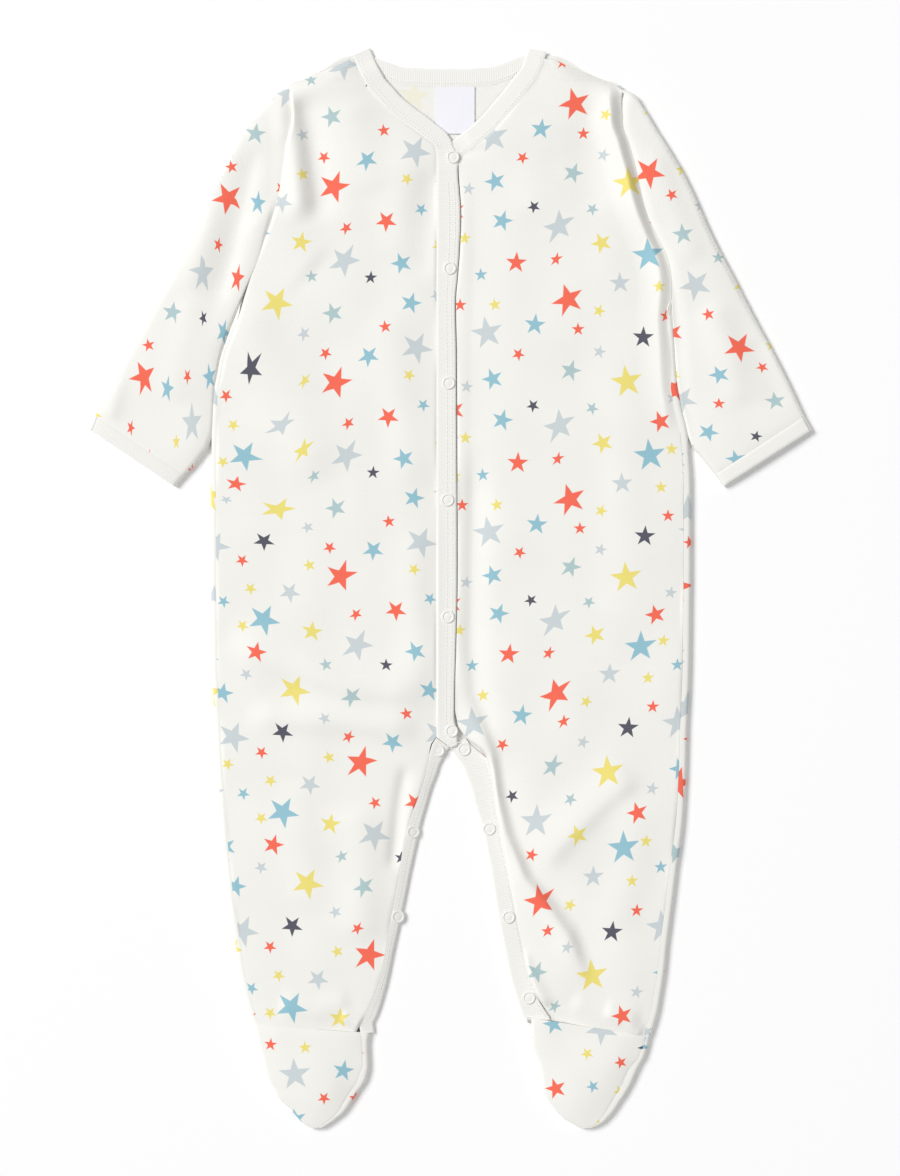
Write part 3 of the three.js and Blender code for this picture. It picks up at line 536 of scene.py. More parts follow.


# each trim's first tone is the painted shade in its hollows, the second its colour on the tops
KNITTED_RIB = hollow_shaded_trim("knitted cotton rib", ridges, ("#F0EFEA", "#F6F5F1"), 1.0, 0.045,
                        Roughness=0.9, Sheen_Weight=0.15, Specular_IOR_Level=0.25)
THREAD = hollow_shaded_trim("mercerised cotton thread", plies, ("#E9E8E3", "#F8F7F3"), 0.6, 0.05, Roughness=0.6)
SNAP = hollow_shaded_trim("lacquered ring snap", orange_peel, ("#EFEEEA", "#F5F4F0"), 0.4, 0.02,
                 Roughness=0.28, IOR=1.49)
LABEL_CLOTH = hollow_shaded_trim("woven satin label", weft, ("#F0F0F7", "#F6F6FC"), 1.0, 0.03,
                        Roughness=0.5, Sheen_Weight=0.1)
print("trims", [m.name for m in (KNITTED_RIB, THREAD, SNAP, LABEL_CLOTH)])

# %% [markdown]
# ## The star repeat
# A printed knit repeats. One repeat was charted: for each star its place, its size, its ink and how
# far it leans. Three sizes and six inks make the whole print, so the chart is short.

# %% Chart of the repeat
REPEAT = (122.0, 116.6)  # mm across and up
NEIGHBOUR_RISE = {-1: 11.0, 1: -4.0}  # the repeats to the left and right of one lie higher or lower than it
STAR_REACH = {"big": 9.9, "medium": 6.6, "small": 4.1}
INK = {
    "red": "#F8684F", "sky": "#92C2D1", "teal": "#B0C9CB", "grey": "#CAD3D6", "yellow": "#EFDF77",
    "navy": "#50505F",
}
CHART = [
    # ink, size, x, y, lean in degrees towards the left
    ("red", "big", 0, 0, 15), ("sky", "medium", -19.6, -10.7, -6), ("yellow", "small", 18.4, -7.1, -21),
    ("red", "small", 58.1, -10.1, 0), ("grey", "big", -48, -15.4, 10), ("red", "small", 5.9, -17.8, 1),
    ("navy", "medium", 44.4, -22.5, -3), ("red", "small", -29.6, -27.9, -29),
    ("grey", "small", 18.4, -30.8, -15), ("sky", "medium", -45, -42.1, 19),
    ("teal", "medium", 1.2, -41.5, -19), ("yellow", "big", 34.4, -48, 8),
    ("navy", "small", -21.3, -57.5, 30), ("grey", "small", 61.6, -57.5, -8),
    ("sky", "medium", -39.7, -65.8, -16), ("teal", "small", 13.6, -63.4, -29),
    ("grey", "big", -5.9, -71.7, 2), ("red", "medium", 53.9, -71.1, 19),
    ("yellow", "medium", 19.6, -83.6, 25), ("yellow", "small", 60.4, -87.1, -3),
    ("red", "medium", -30.8, -90.7, -3), ("red", "small", -7.1, -90.7, -14), ("sky", "big", 47.4, -90.7, 6),
    ("sky", "small", -51.6, -97.8, 4), ("grey", "medium", 30.8, -107.3, 3),
    ("yellow", "small", 53.9, -109.6, 3), ("yellow", "small", -43.3, -115.6, 9),
]
STAR_PLACE = np.array([row[2:4] for row in CHART], float)
STAR_SIZE = np.array([STAR_REACH[row[1]] for row in CHART])
STAR_INK = np.array([linear(INK[row[0]]) for row in CHART])
STAR_LEAN = np.radians([row[4] for row in CHART])
print("stars in one repeat", len(CHART))

# %% [markdown]
# ## Where the print lies on each panel
# Each panel was cut from the same cloth, some upside down. The knit also stretched a little as it was sewn,
# so on the fronts the same red star comes back along a line that bends: those places are tabled, and the
# print follows them.

# %% Placing the print
def placed(origin, degrees, mirrored=False):
    """The print turned by an angle about a point, where its big red star is; mirrored seen from behind."""
    turn = math.radians(degrees)

    def to_print(x, y):
        dx = x - origin[0]
        dy = y - origin[1]
        across = dx * math.cos(turn) + dy * math.sin(turn)
        up = -dx * math.sin(turn) + dy * math.cos(turn)
        return stacked(-across if mirrored else across, up)

    return to_print


def placed_along(places, upside_down):
    """The print whose big red star comes back at these places, from the lowest to the highest."""
    places = np.array(places, float)
    count = np.arange(len(places)) - len(places) // 2
    height = smooth(places[:, 1], count * REPEAT[1])
    middle = smooth(places[:, 1], places[:, 0])
    low, high = places[0, 1], places[-1, 1]
    way = -1 if upside_down else 1

    def to_print(x, y):
        outside = np.minimum(y - low, 0) + np.maximum(y - high, 0)
        return way * stacked(x - middle(y), height(y) + outside)

    return to_print


LIFTED = {  # mm across where the print begins to be lifted and where it is lifted in full, and by how much
    -1: (-70.0, -45.0, 5.5),
    1: (72.0, 54.0, -4.5),
}


def lifted(to_print, side):
    """The same print shifted up or down beside the placket, where the front was eased on to its band."""
    starts, ends, by = LIFTED[side]

    def moved(x, y):
        return to_print(x, y - by * soft_step((x - starts) / (ends - starts)))

    return moved


# how far down and how far out the print is dragged, round which height, and between which places
DRAGGED = {"down": 18.0, "out": 7.0, "middle": 95.0, "reach": 50.0}
DRAGGED_BETWEEN = {"down": (-72.0, -108.0), "out": (-94.0, -118.0)}


def dragged(to_print):
    """The same print pulled down and out by a few millimetres beside one underarm, with soft limits."""

    def pulled(x, y):
        beside = np.exp(-(((y - DRAGGED["middle"]) / DRAGGED["reach"]) ** 4))
        amounts = {way: DRAGGED[way] * soft_step((x - starts) / (ends - starts)) * beside
                   for way, (starts, ends) in DRAGGED_BETWEEN.items()}
        return to_print(x + amounts["out"], y + amounts["down"])

    return pulled


# a point on the line where the crowding starts, the way across it, and where the print is fetched from
DRAWN = {
    -1: {"from": (-109.6, 264.2), "across": (0.888, -0.459), "towards": (0.72, 0.69)},
    1: {"from": (166.0, 142.0), "across": (0.0, -1.0), "towards": (-0.07, -0.2)},
}


DRAWN_SHARE = {"least": 0.5, "more": 0.32, "from": 215.0, "run": 45.0}  # more towards the cuff


def drawn_together(to_print, side):
    """The same print crowded together towards one edge of a sleeve: beyond a line, each place shows what
    lies farther and farther in one direction."""
    start, across, towards = (np.array(DRAWN[side][key]) for key in ("from", "across", "towards"))

    def crowded(x, y):
        beyond = (x - start[0]) * across[0] + (y - start[1]) * across[1]
        towards_cuff = np.clip((DRAWN_SHARE["from"] - y) / DRAWN_SHARE["run"], 0, 1)
        share = DRAWN_SHARE["least"] + DRAWN_SHARE["more"] * towards_cuff
        farther = share * np.maximum(beyond, 0)
        return to_print(x + towards[0] * farther, y + towards[1] * farther)

    return crowded


PRINT = {
    "front_left": lifted(placed_along(
        [(44, -299), (52.8, -180.6), (62.3, -60.1), (70.6, 52.8), (69.4, 171.4), (73.5, 286.9)], False), 1),
    "front_right": lifted(dragged(placed_along(
        [(-38, -338), (-48.5, -222.5), (-53.3, -107.2), (-65.1, 6.6), (-68.1, 121.6), (-69.3, 237.7)],
        True)), -1),
    "sleeve_left": drawn_together(placed((117.4, 246), 27.1), 1),
    "sleeve_right": drawn_together(placed((-132.1, 231.0), 155.1), -1),
    "back_body": placed((12.4, 340), 0, mirrored=True),
    "foot_top_right": placed((-43.2, -276.7), -5),
    "foot_top_left": placed((39.1, -263.4), 165),
    "sole_right": placed((-30, -300), 80),
    "sole_left": placed((120, -250), 40),
}


def print_stars(mesh, faces, print_xy):
    """Gives each face its nearest star in the endless repeat. Each of its corners gets the star's own
    coordinates, (place minus star) over the star's reach, turned back by its lean, and the star's ink."""
    corners = print_xy[faces]
    middle = corners.mean(axis=1)
    away = middle[:, None] - STAR_PLACE[None]
    column = np.round(away[..., 0] / REPEAT[0])
    away[..., 1] -= np.where(column < 0, NEIGHBOUR_RISE[-1], 0) + np.where(column > 0, NEIGHBOUR_RISE[1], 0)
    away = (away + np.array(REPEAT) / 2) % np.array(REPEAT) - np.array(REPEAT) / 2
    nearest = (np.hypot(away[..., 0], away[..., 1]) - STAR_SIZE).argmin(axis=1)
    star = middle - away[np.arange(len(faces)), nearest]
    local = (corners - star[:, None]) / STAR_SIZE[nearest][:, None, None]
    cos = np.cos(STAR_LEAN[nearest])[:, None]
    sin = np.sin(STAR_LEAN[nearest])[:, None]
    x, y = local[..., 0], local[..., 1]
    turned = stacked(x * cos + y * sin, y * cos - x * sin)
    mesh.uv_layers.new(name="star").data.foreach_set("uv", turned.ravel().astype(np.float32))
    ink = mesh.color_attributes.new("ink", "FLOAT_COLOR", "CORNER")
    inks = np.repeat(STAR_INK[nearest], faces.shape[1], axis=0)
    ink.data.foreach_set("color", inks.ravel().astype(np.float32))


print("panels with print", len(PRINT))

# %% [markdown]
# ## From a grid of points to a sheet of cloth
# A sheet is a grid of points on its right side. The faces are wound so that they point away from the body,
# and a Solidify modifier adds the wrong side and the cut edges. A tube's last column joins its first. The
# sheet is shaded smooth, apart from its cut edges, which are marked sharp and stay crisp.

# %% Sheets
CLOTH_AREA = {}  # square millimetres of each sheet


def new_piece(name, points, faces, materials, slot):
    """A smooth piece of the suit from points in frame millimetres and lists of corner numbers."""
    mesh = bpy.data.meshes.new(name)
    mesh.from_pydata((points * MM).tolist(), [], faces)
    for material in materials:
        mesh.materials.append(material)
    mesh.shade_smooth()
    piece = bpy.data.objects.new(name, mesh)
    bpy.context.scene.collection.objects.link(piece)
    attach(piece, "root")
    return piece


def grid_faces(rows, columns, ring, flip, holds=None):
    """Quads of a grid of points numbered row by row, as an array of four corner numbers each."""
    j, i = np.meshgrid(np.arange(rows - 1), np.arange(columns if ring else columns - 1), indexing="ij")
    keep = np.full(i.shape, True) if holds is None else holds(i, j)
    i, j = i[keep], j[keep]
    following = (i + 1) % columns
    quads = np.stack([j * columns + i, j * columns + following, (j + 1) * columns + following,
                      (j + 1) * columns + i], axis=-1)
    return quads[:, ::-1] if flip else quads


def faces_away(points, ring, way):
    """True if the grid's quads already point up, down or, on a ring, out, judged on a column of its top."""
    k = points.shape[1] // 5 if ring else points.shape[1] // 2 - 1
    along = (points[:-1, k + 1] - points[:-1, k]).T
    down = (points[1:, k] - points[:-1, k]).T
    area = (along[0] * down[1] - along[1] * down[0]).sum()
    return area < 0 if way == "down" else area > 0


def cloth_uv(points):
    """Millimetres along and across the sheet: the running lengths of the middle column and middle row."""
    along = travelled(points[:, points.shape[1] // 2])
    across = travelled(points[points.shape[0] // 2])
    return stacked(along[:, None], across[None, :])


def sheet(name, points, thickness, materials, slot, way="up", ring=False, holds=None, to_print=None,
          turned=False):
    """Makes one sheet from its grid of points (rows, columns, xyz) in table millimetres. turned swaps the
    two directions of the knit."""
    rows, columns = points.shape[:2]
    quads = grid_faces(rows, columns, ring, not faces_away(points, ring, way), holds)
    used, renumbered = np.unique(quads, return_inverse=True)
    quads = renumbered.reshape(quads.shape)
    flat = points.reshape(-1, 3)[used]
    piece = new_piece(name, flat + SHIFT, quads.tolist(), materials, slot)
    mesh = piece.data
    uv = mesh.uv_layers.new(name="cloth")
    knit = cloth_uv(points)[..., ::-1] if turned else cloth_uv(points)
    uv.data.foreach_set("uv", knit.reshape(-1, 2)[used][quads].ravel().astype(np.float32))
    if to_print is not None:
        print_stars(mesh, quads, to_print(flat[:, 0], flat[:, 1]))
    diagonals = flat[quads[:, 2]] - flat[quads[:, 0]], flat[quads[:, 3]] - flat[quads[:, 1]]
    CLOTH_AREA[name] = float(np.linalg.norm(np.cross(*diagonals), axis=-1).sum() / 2)
    loop_edges = np.empty(len(mesh.loops), np.int32)
    mesh.loops.foreach_get("edge_index", loop_edges)
    mesh.edges.foreach_set("use_edge_sharp", np.bincount(loop_edges, minlength=len(mesh.edges)) == 1)
    shell = piece.modifiers.new("thickness", "SOLIDIFY")
    shell.thickness = thickness * MM
    shell.offset = -1
    shell.material_offset = len(materials) - 1
    return piece


def printed_sheet(name, points, node, **shape):
    """A sheet of interlock with the print of the panel that it replaces."""
    cloth = [INTERLOCK, INTERLOCK_INSIDE]
    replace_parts(sheet(name, points, CLOTH, cloth, "printed_interlock", to_print=PRINT[node], **shape), node)


def rib_sheet(name, points, *nodes, **shape):
    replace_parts(sheet(name, points, RIB, [KNITTED_RIB], "cotton_rib", **shape), *nodes)

# %% [markdown]
# ## The back
# The back is one cut from neck to ankles. It lies on the table and curls up round both sides, so its edge
# strips are what shows outside the side seams. The curl is a bend of even radius: a strip of cloth of known
# length that turns through an angle, from nothing at the armhole to a half turn lower down.

# %% Curling an edge
CURL_STEPS = 8
LEAST_STRIP = 3.0
LEAST_BENT = 0.75  # share of a strip that has points for a bend, however little it turns
EDGE_CELL = 0.2  # mm beside a cut edge, so narrow that the edge's turn doesn't shade the strip


def curl(turn, length, radius):
    """Points of a strip as (in from the outline, up), its free end first. Up to radius times turn the strip
    bends, the rest is straight."""
    turn = np.asarray(turn, float)[..., None]
    length = np.asarray(length, float)[..., None]
    arc = np.minimum(np.maximum(radius * turn, LEAST_BENT * length), length - 2 * EDGE_CELL)
    bent = arc * (1 - np.linspace(0, 1, CURL_STEPS))
    end = np.broadcast_to(length, bent.shape[:-1] + (1,))
    stops = np.concatenate([end, end - EDGE_CELL, bent], axis=-1)

    def place(s):
        angle = np.minimum(s / radius, turn)
        rest = s - angle * radius
        up = radius * (1 - np.cos(angle)) + rest * np.sin(turn)
        return radius * np.sin(angle) + rest * np.cos(turn), up

    along, up = place(stops)
    reach = np.where(turn < math.pi / 2, place(length)[0], radius)
    return reach - along, up


def turn_at(y):
    return math.pi * soft_step((UNDERARM - y) / (UNDERARM - WRAPPED_BELOW))


def strip_length(turn, lap):
    return np.maximum(FOLD_RADIUS * turn + (lap - FOLD_RADIUS) * turn / math.pi, LEAST_STRIP)


# %% The back's grid
BACK_STEP = 3.2
CROTCH_SPREAD = 1.05  # mm that the back's edge goes out from the crotch for each one down
BAND_WIDER = 4.0  # mm that the band is wider at its upper end
BACK_COLUMNS = 30


def back_band_edge(y, side):
    """Sewn edge of the back along the inseam band: a straight start at the crotch, then beside the leg."""
    crotch = CROTCH_HALF + (CROTCH_TOP - y) * CROTCH_SPREAD
    leg = np.abs(INSEAM[side](y)) + LEG_BAND_WIDTH + GAP + BAND_WIDER * fall(-100 - y, 12)
    return side * np.minimum(crotch, leg)


def back_half(y, side, top=None):
    into, up = curl(turn_at(y), strip_length(turn_at(y), LAP[side]), FOLD_RADIUS)
    strip = BODY[side](y)[:, None] - side * into
    end = np.where(y >= CROTCH_TOP, side * CROTCH_HALF, back_band_edge(y, side))
    flat = mix(strip[:, -1:], end[:, None], np.linspace(0, 1, BACK_COLUMNS + 1)[1:])
    x = side_by_side(strip, flat)
    z = side_by_side(up, np.zeros(flat.shape))
    return x, z


SHOULDER_ROWS = 5
upper = np.linspace(296, 290, SHOULDER_ROWS + 1)
crotch_rows = [CROTCH_TOP, -88, -90, -92.5, -95, -98, -101]
back_y = np.concatenate([upper, np.arange(286.8, CROTCH_TOP + 1, -BACK_STEP), crotch_rows,
                         np.linspace(-104, ANKLE, 50)])
right_x, right_z = back_half(back_y, 1)
left_x, left_z = back_half(back_y, -1)
back_x = side_by_side(right_x, left_x[:, ::-1])
back_z = side_by_side(right_z, left_z[:, ::-1])
back_rows_y = row_y(back_y[:, None], back_x)
towards_top = np.linspace(1, 0, SHOULDER_ROWS + 1)[:, None]
back_rows_y[: SHOULDER_ROWS + 1] = mix(290, BACK_TOP(back_x[: SHOULDER_ROWS + 1]), towards_top)
MIDDLE_CELL = CURL_STEPS + 2 + BACK_COLUMNS - 1
CROTCH_ROW = int(np.flatnonzero(back_y == CROTCH_TOP)[0])
printed_sheet("back", stacked(back_x, back_rows_y, back_z), "back_body", way="down",
              holds=lambda i, j: (i != MIDDLE_CELL) | (j < CROTCH_ROW))
print("back", back_x.shape)

# %% [markdown]
# ## The two fronts
# Each front is a crowned sheet: it rises from its sewn edges to the crown and carries the folds. The height
# is a formula of the place in plan, so that seams, stitches and snaps can ask for it too.

# %% Height of a front
SEAM_RUN = 2.4  # how far in the cloth rounds down into a seam
SEAM_DROP = 0.3
FRONT_DROP = {-1: 0.22, 1: 0.1}  # of a front towards its sewn edge, by side
SIDE_DROP = 0.06
STEP_RUN = 20.0  # in which a front rises from a lower band
FOLD_MARGIN = 2.5
ROLL = table(  # height of the cloth that rolls over the armhole seam, by side
    ["y", -1, 1],
    [(300, 0, 0), (290, 0, 3.6), (276, 0, 5.4), (252, 0, 5.6), (232, 0, 5.4), (210, 0, 4.8), (190, 0, 3.8),
     (170, 0, 2.8), (140, 0, 2.3), (112, 0, 1.8), (92, 0, 0)],
)
ROLL_CREST = 7.5  # from the edge to the top of the roll
ROLL_RUN = 14.0  # from there to where it ends
ROLL_OVER = 0.95  # how far the edge lies past the armhole, for each millimetre of the roll's height
ROLL_LIP = 0.4  # how far its edge turns down, for each millimetre of its height
LIP = np.array([0.75, 0.3])  # the last points at a side edge, turned down by these shares of its drop
LIP_OUT = 0.35  # and how far they bulge over a roll


def front_outline(y, side):
    return BODY[side](y) - side * (LAP[side] * turn_at(y) / math.pi - ROLL_OVER * ROLL[side](y))


def roll_section(distance):
    """Section of the roll: a smooth step up from the edge to its top, then a long way down."""
    return soft_step(distance / ROLL_CREST) * fall(distance - ROLL_CREST, ROLL_RUN)


def front_height(x, y, side):
    """Crown minus the fall to each edge, plus the folds, rounded down at the seams; near the shoulder it
    goes over to the height of the fold there."""
    edge = FRONT_EDGE[side]
    from_side = np.abs(front_outline(y, side) - x)
    from_seam = np.abs(x - edge["x"](y))
    at_shoulder = fall(BACK_TOP(x) - y, SHOULDER_RUN)
    crown = CROWN * (1 - fall(np.minimum(from_side, from_seam), EDGE_RUN))
    base = TOP_OF[2] + crown - (TOP_OF[2] - edge["z"](y)) * fall(from_seam, STEP_RUN)
    settled = (1 - fall(from_side, FOLD_MARGIN)) * (1 - fall(from_seam, FOLD_MARGIN))
    base = base + ROLL[side](y) * roll_section(from_side)
    height = mix(base + relief(x, y) * settled, TOP_OF[1], at_shoulder)
    return height - FRONT_DROP[side] * fall(from_seam, SEAM_RUN) - SIDE_DROP * fall(from_side, SEAM_RUN)


FRONT_STEP = 2.0
FRONT_COLUMNS = 96
front_y = np.linspace(314, ANKLE, int((314 - ANKLE) / FRONT_STEP) + 1)


def uneven(count, near=0.35):
    """Steps from 0 to 1 that are closer together at both ends, where the cloth rounds into its seams."""
    t = np.linspace(0, 1, count + 1)
    return t - (1 - near) * np.sin(2 * math.pi * t) / (2 * math.pi)


for node, side in (("front_right", -1), ("front_left", 1)):
    seam_x = FRONT_EDGE[side]["x"](front_y)
    x = mix(front_outline(front_y, side)[:, None], seam_x[:, None], uneven(FRONT_COLUMNS))
    y = np.broadcast_to(front_y[:, None], x.shape)
    z = front_height(x, y, side)
    down = (SIDE_DROP + ROLL[side](front_y) * ROLL_LIP)[:, None] * LIP
    z = side_by_side(z[:, :1] - down, z)
    rolled = np.minimum(ROLL[side](front_y), 1)[:, None]
    out = side * LIP_OUT * rolled * np.sin(LIP * math.pi)
    x = side_by_side(x[:, :1] + out, x)
    y = np.broadcast_to(front_y[:, None], x.shape)
    printed_sheet(f"cloth_{node}", stacked(x, row_y(y, x), z), node)
print("front grid", x.shape)

# %% [markdown]
# ## Sleeves and cuffs
# A sleeve is a flattened tube: level below, round at both sides, a little crowned on top. Its plan is a
# Coons patch, which fills the space between four curves: the outer line, the under line, the armhole and the
# cuff seam. The rings fan out from the underarm, so the under line is travelled slowly at first.

# %% Tubes
ARM_GAP = -0.25  # the armhole lies this little under the body's side
ARMHOLE_TOP = 296.6
INNER_EDGE_LOW = 97.0  # down to here a sleeve's inner edge lies along the body
INNER_LAG = 1.8
TUBE_COLUMNS = 40
CAP_ANGLES = np.radians(np.linspace(155, 25, 7))


def plan_curve(points):
    """A curve through points in plan, from 0 to 1 by its length."""
    points = np.array(points, float)
    run = travelled(points)
    x = smooth(run, points[:, 0])
    y = smooth(run, points[:, 1])
    return lambda t: stacked(x(t * run[-1]), y(t * run[-1]))


def patch(outer, inner, start, end):
    """Coons patch: the mix of outer and inner, plus the mix of start and end, minus that of the corners."""
    first, last = outer(0.0), outer(1.0)
    first_in, last_in = inner(0.0), inner(1.0)

    def place(s, v):
        s, v = np.broadcast_arrays(s, v)
        along = mix(outer(v), inner(v), s[..., None])
        across = mix(start(s), end(s), v[..., None])
        corners = mix(mix(first, first_in, s[..., None]), mix(last, last_in, s[..., None]), v[..., None])
        return along + across - corners

    return place


def tube(plan, rings, top_height):
    """Grid of a flattened tube: the top from s = 0 to 1, a round side, the floor back again, a round side."""
    v = np.linspace(0, 1, rings + 1)[:, None]
    width = np.linalg.norm(plan(1.0, v) - plan(0.0, v), axis=-1)
    radius = FOLD_RADIUS / width
    across = mix(radius, 1 - radius, np.linspace(0, 1, TUBE_COLUMNS + 1))
    place = plan(across, v)
    top = top_height(across, v, place[..., 0], place[..., 1])
    cap_s = radius * (1 - np.sin(CAP_ANGLES))
    cap_z = np.broadcast_to(FOLD_RADIUS * (1 - np.cos(CAP_ANGLES)), cap_s.shape)
    s = side_by_side(across, 1 - cap_s, across[:, ::-1], cap_s[:, ::-1])
    z = side_by_side(top, cap_z, np.zeros(across.shape), cap_z[:, ::-1])
    return np.concatenate([plan(s, v), z[..., None]], axis=-1)


def cross_crown(s, flatness):
    """0 at both sides of a tube and 1 in its middle, the flatter on top the higher the power."""
    return 1 - (2 * s - 1) ** flatness


# %% The sleeves' outlines
SLEEVES = {
    "left": (
        1,
        [(100.4, 296.6), (109.7, 292.6), (114.4, 286), (123.3, 271.5), (132.2, 257.3), (142.3, 238.9),
         (154.1, 212.3), (167.8, 185.6), (181.4, 158.9), (195.6, 132.3), (209.8, 102.3)],
        [(142.3, 86), (147.6, 78.9), (156.7, 67.4)],
        [(214.3, 94), (161.6, 60.4)],
    ),
    "right": (
        -1,
        [(-97.9, 296.6), (-106, 292.6), (-112, 286), (-123.8, 271.5), (-131.5, 257.3), (-141, 238.9),
         (-152.2, 212.3), (-165.9, 185.6), (-180.1, 158.9), (-194.3, 132.3), (-211, 102.6)],
        [(-143, 86), (-147.2, 78.9), (-157.9, 66.8)],
        [(-214.3, 94.4), (-163.6, 60.2)],
    ),
}
SLEEVE_RINGS = 104
CUFF_RINGS = 12
SIDE_PRESS = {-1: 1.2, 1: 0.25}  # how far a sleeve's own edge is pressed over the body's side
SLEEVE_DIP = {-1: 0.12, 1: 2.6}  # how far a sleeve sinks at the armhole, by side
DIP_RUN = 10.0
SLEEVE_LEAST = CLOTH + 0.3  # its top never sinks below this
RISE_SHARE = 0.2  # shares of the sleeve's length: in which it rises from the armhole,
SETTLE_SHARES = (0.06, 0.04)  # in which its folds fade towards the armhole and towards the cuff,
ROUND_SHARE = 0.012  # and in which it rounds down to the cuff
CUFF_STEP = 0.1  # how far the cuff starts below the sleeve
CUFF_DROP = 0.6  # and how far it rounds down at its fold
CUFF_SHARES = (0.16, 0.14)  # shares of its width in which it does


def beside_body(top, bottom, count, side, gap):
    y = np.linspace(top, bottom, count)
    return [(float(BODY[side](h)) + side * gap, h) for h in y]


def sleeve_top(s, v, x, y):
    """Height of a sleeve: crowned across, sunk at the armhole, with the folds and a rounded seam edge."""
    rise = SLEEVE_CROWN * (1 - fall(v, RISE_SHARE)) * cross_crown(s, 4)
    settled = (1 - fall(v, SETTLE_SHARES[0])) * (1 - fall(1 - v, SETTLE_SHARES[1])) * cross_crown(s, 6)
    seams = SEAM_DROP * fall(1 - v, ROUND_SHARE)
    from_body = np.where(x < 0, BODY[-1](y) - x, x - BODY[1](y))
    sunk = np.where(x < 0, SLEEVE_DIP[-1], SLEEVE_DIP[1]) * fall(from_body, DIP_RUN) * cross_crown(s, 3)
    return np.maximum(TOP_OF[2] + rise + relief(x, y) * settled - seams - sunk, SLEEVE_LEAST)


def cuff_top(s, v, x, y):
    """Height of a cuff: it starts a little under the sleeve's edge and rounds down at its fold."""
    rounded = (SEAM_DROP + CUFF_STEP) * fall(v, CUFF_SHARES[0]) + CUFF_DROP * fall(1 - v, CUFF_SHARES[1])
    return TOP_OF[2] + SLEEVE_CROWN * cross_crown(s, 4) - rounded


for name, (side, outer, below, cuff) in SLEEVES.items():
    armhole = plan_curve(beside_body(ARMHOLE_TOP, UNDERARM, 11, side, ARM_GAP))
    inner_edge = plan_curve(beside_body(UNDERARM, INNER_EDGE_LOW, 7, side, -SIDE_PRESS[side]) + below)
    seam = [outer[-1], below[-1]]
    sleeve_plan = patch(plan_curve(outer), lambda t: inner_edge(t**INNER_LAG), armhole, plan_curve(seam))
    cuff_sides = [seam[0], cuff[0]], [seam[1], cuff[1]]
    cuff_plan = patch(*(plan_curve(line) for line in (*cuff_sides, seam, cuff)))
    printed_sheet(f"cloth_sleeve_{name}", tube(sleeve_plan, SLEEVE_RINGS, sleeve_top), f"sleeve_{name}",
                  way="out", ring=True)
    rib_sheet(f"rib_cuff_{name}", tube(cuff_plan, CUFF_RINGS, cuff_top), f"cuff_{name}", way="out", ring=True,
              turned=True)
print("sleeves and cuffs", sorted(SLEEVES))

# %% [markdown]
# ## Rib bands
# A rib binding is a folded strip sewn to an edge. Its section is nearly flat, rounds down into the seam on
# one side and over the fold on the other. A band is given by its two long edges, so the same function makes
# the neck, the placket and the inseams.

# %% Bands
BAND_COLUMNS = 14
FREE_DROP = 0.8
BANDS = {}
UNDERLAP = 0.3  # how far a band goes on under the cloth that it is sewn to
SEAM_ROUND = 1.6  # mm in which a band rounds down into its seam
FOLD_ROUND = 1.1  # and over its fold


def band(name, seam, free, z, node, free_drop=FREE_DROP, lean=0.0):
    """A sheet between a sewn edge and a free edge, each as points in plan, at the height z."""
    seam = np.asarray(seam, float)
    free = np.asarray(free, float)
    z = np.broadcast_to(np.asarray(z, float), (len(seam),))
    t = uneven(BAND_COLUMNS)
    width = np.linalg.norm(free - seam, axis=-1)[:, None]
    plan = mix(seam[:, None], free[:, None], t[None, :, None])
    rounded = SEAM_DROP * fall(t * width, SEAM_ROUND) + free_drop * fall((1 - t) * width, FOLD_ROUND)
    height = np.maximum(z[:, None] - (rounded + lean * t), RIB)
    BANDS[name] = np.concatenate([plan, height[..., None]], axis=-1)
    rib_sheet(name, BANDS[name], node)


def beside(side, y, width):
    """The two edges of a band beside a front's sewn edge, the free one at a right angle to it."""
    edge = FRONT_EDGE[side]["x"]
    dx = edge(y + 0.5) - edge(y - 0.5)
    length = np.hypot(1, dx)
    across = stacked(-side / length, side * dx / length)
    base = stacked(edge(y), y)
    return base - across * UNDERLAP, base + across * width[:, None]


# %% The neck band on the viewer's right and the one at the back
BACK_BAND_WIDTH = 10.5
BACK_BAND_SHORTER = 0.99  # its free edge is this much of its seam's length
BACK_BAND_TAPER = 4.0  # mm that the back band is narrower at its ends
NECK_LEAN = 0.8  # how far the front's bands lean down towards the neck
NECK_LIFT = 0.15  # the left one lies a little over its front's edge
NECK_END = 46.0
NECK_TOP = 316.0
neck_y = np.concatenate([np.linspace(NECK_TOP, 262, 41), np.linspace(261, 251, 16)])
NECK_WIDTH = table(
    ["y", -1, 1],
    [(316, 11.2, 10.8), (272, 11.1, 11.2), (262, 10.6, 10.8), (259, 11.1, 10.6), (256, 12.3, 11),
     (251, 12.9, 11)],
)
SEAM_RAISE = np.array([0.9, 2.4])  # mm that the band's upper end is moved across and up, to be level
FREE_RAISE = np.array([0.0, 0.6])
RAISE_RUN = 16.0
left_seam, left_free = beside(1, neck_y, NECK_WIDTH[1](neck_y))
raised = fall(NECK_TOP - neck_y, RAISE_RUN)[:, None]
above_point = np.clip((neck_y - 252) / 10, 0, 1)[:, None]  # at the point of the V the edge lies flat
band("rib_neck_left", left_seam + SEAM_RAISE * raised, left_free + FREE_RAISE * raised,
     FRONT_EDGE[1]["z"](neck_y) + NECK_LIFT, "neck_band_left", free_drop=FREE_DROP * above_point,
     lean=NECK_LEAN * above_point)
neck_x = np.linspace(NECK_END, -NECK_END, 50)
back_free_y = BACK_TOP(neck_x) + BACK_BAND_WIDTH - BACK_BAND_TAPER * fall(NECK_END - np.abs(neck_x), 9)
band("rib_neck_back", stacked(neck_x, BACK_TOP(neck_x) - UNDERLAP),
     stacked(neck_x * BACK_BAND_SHORTER, back_free_y), TOP_OF[0], "neck_band_back")

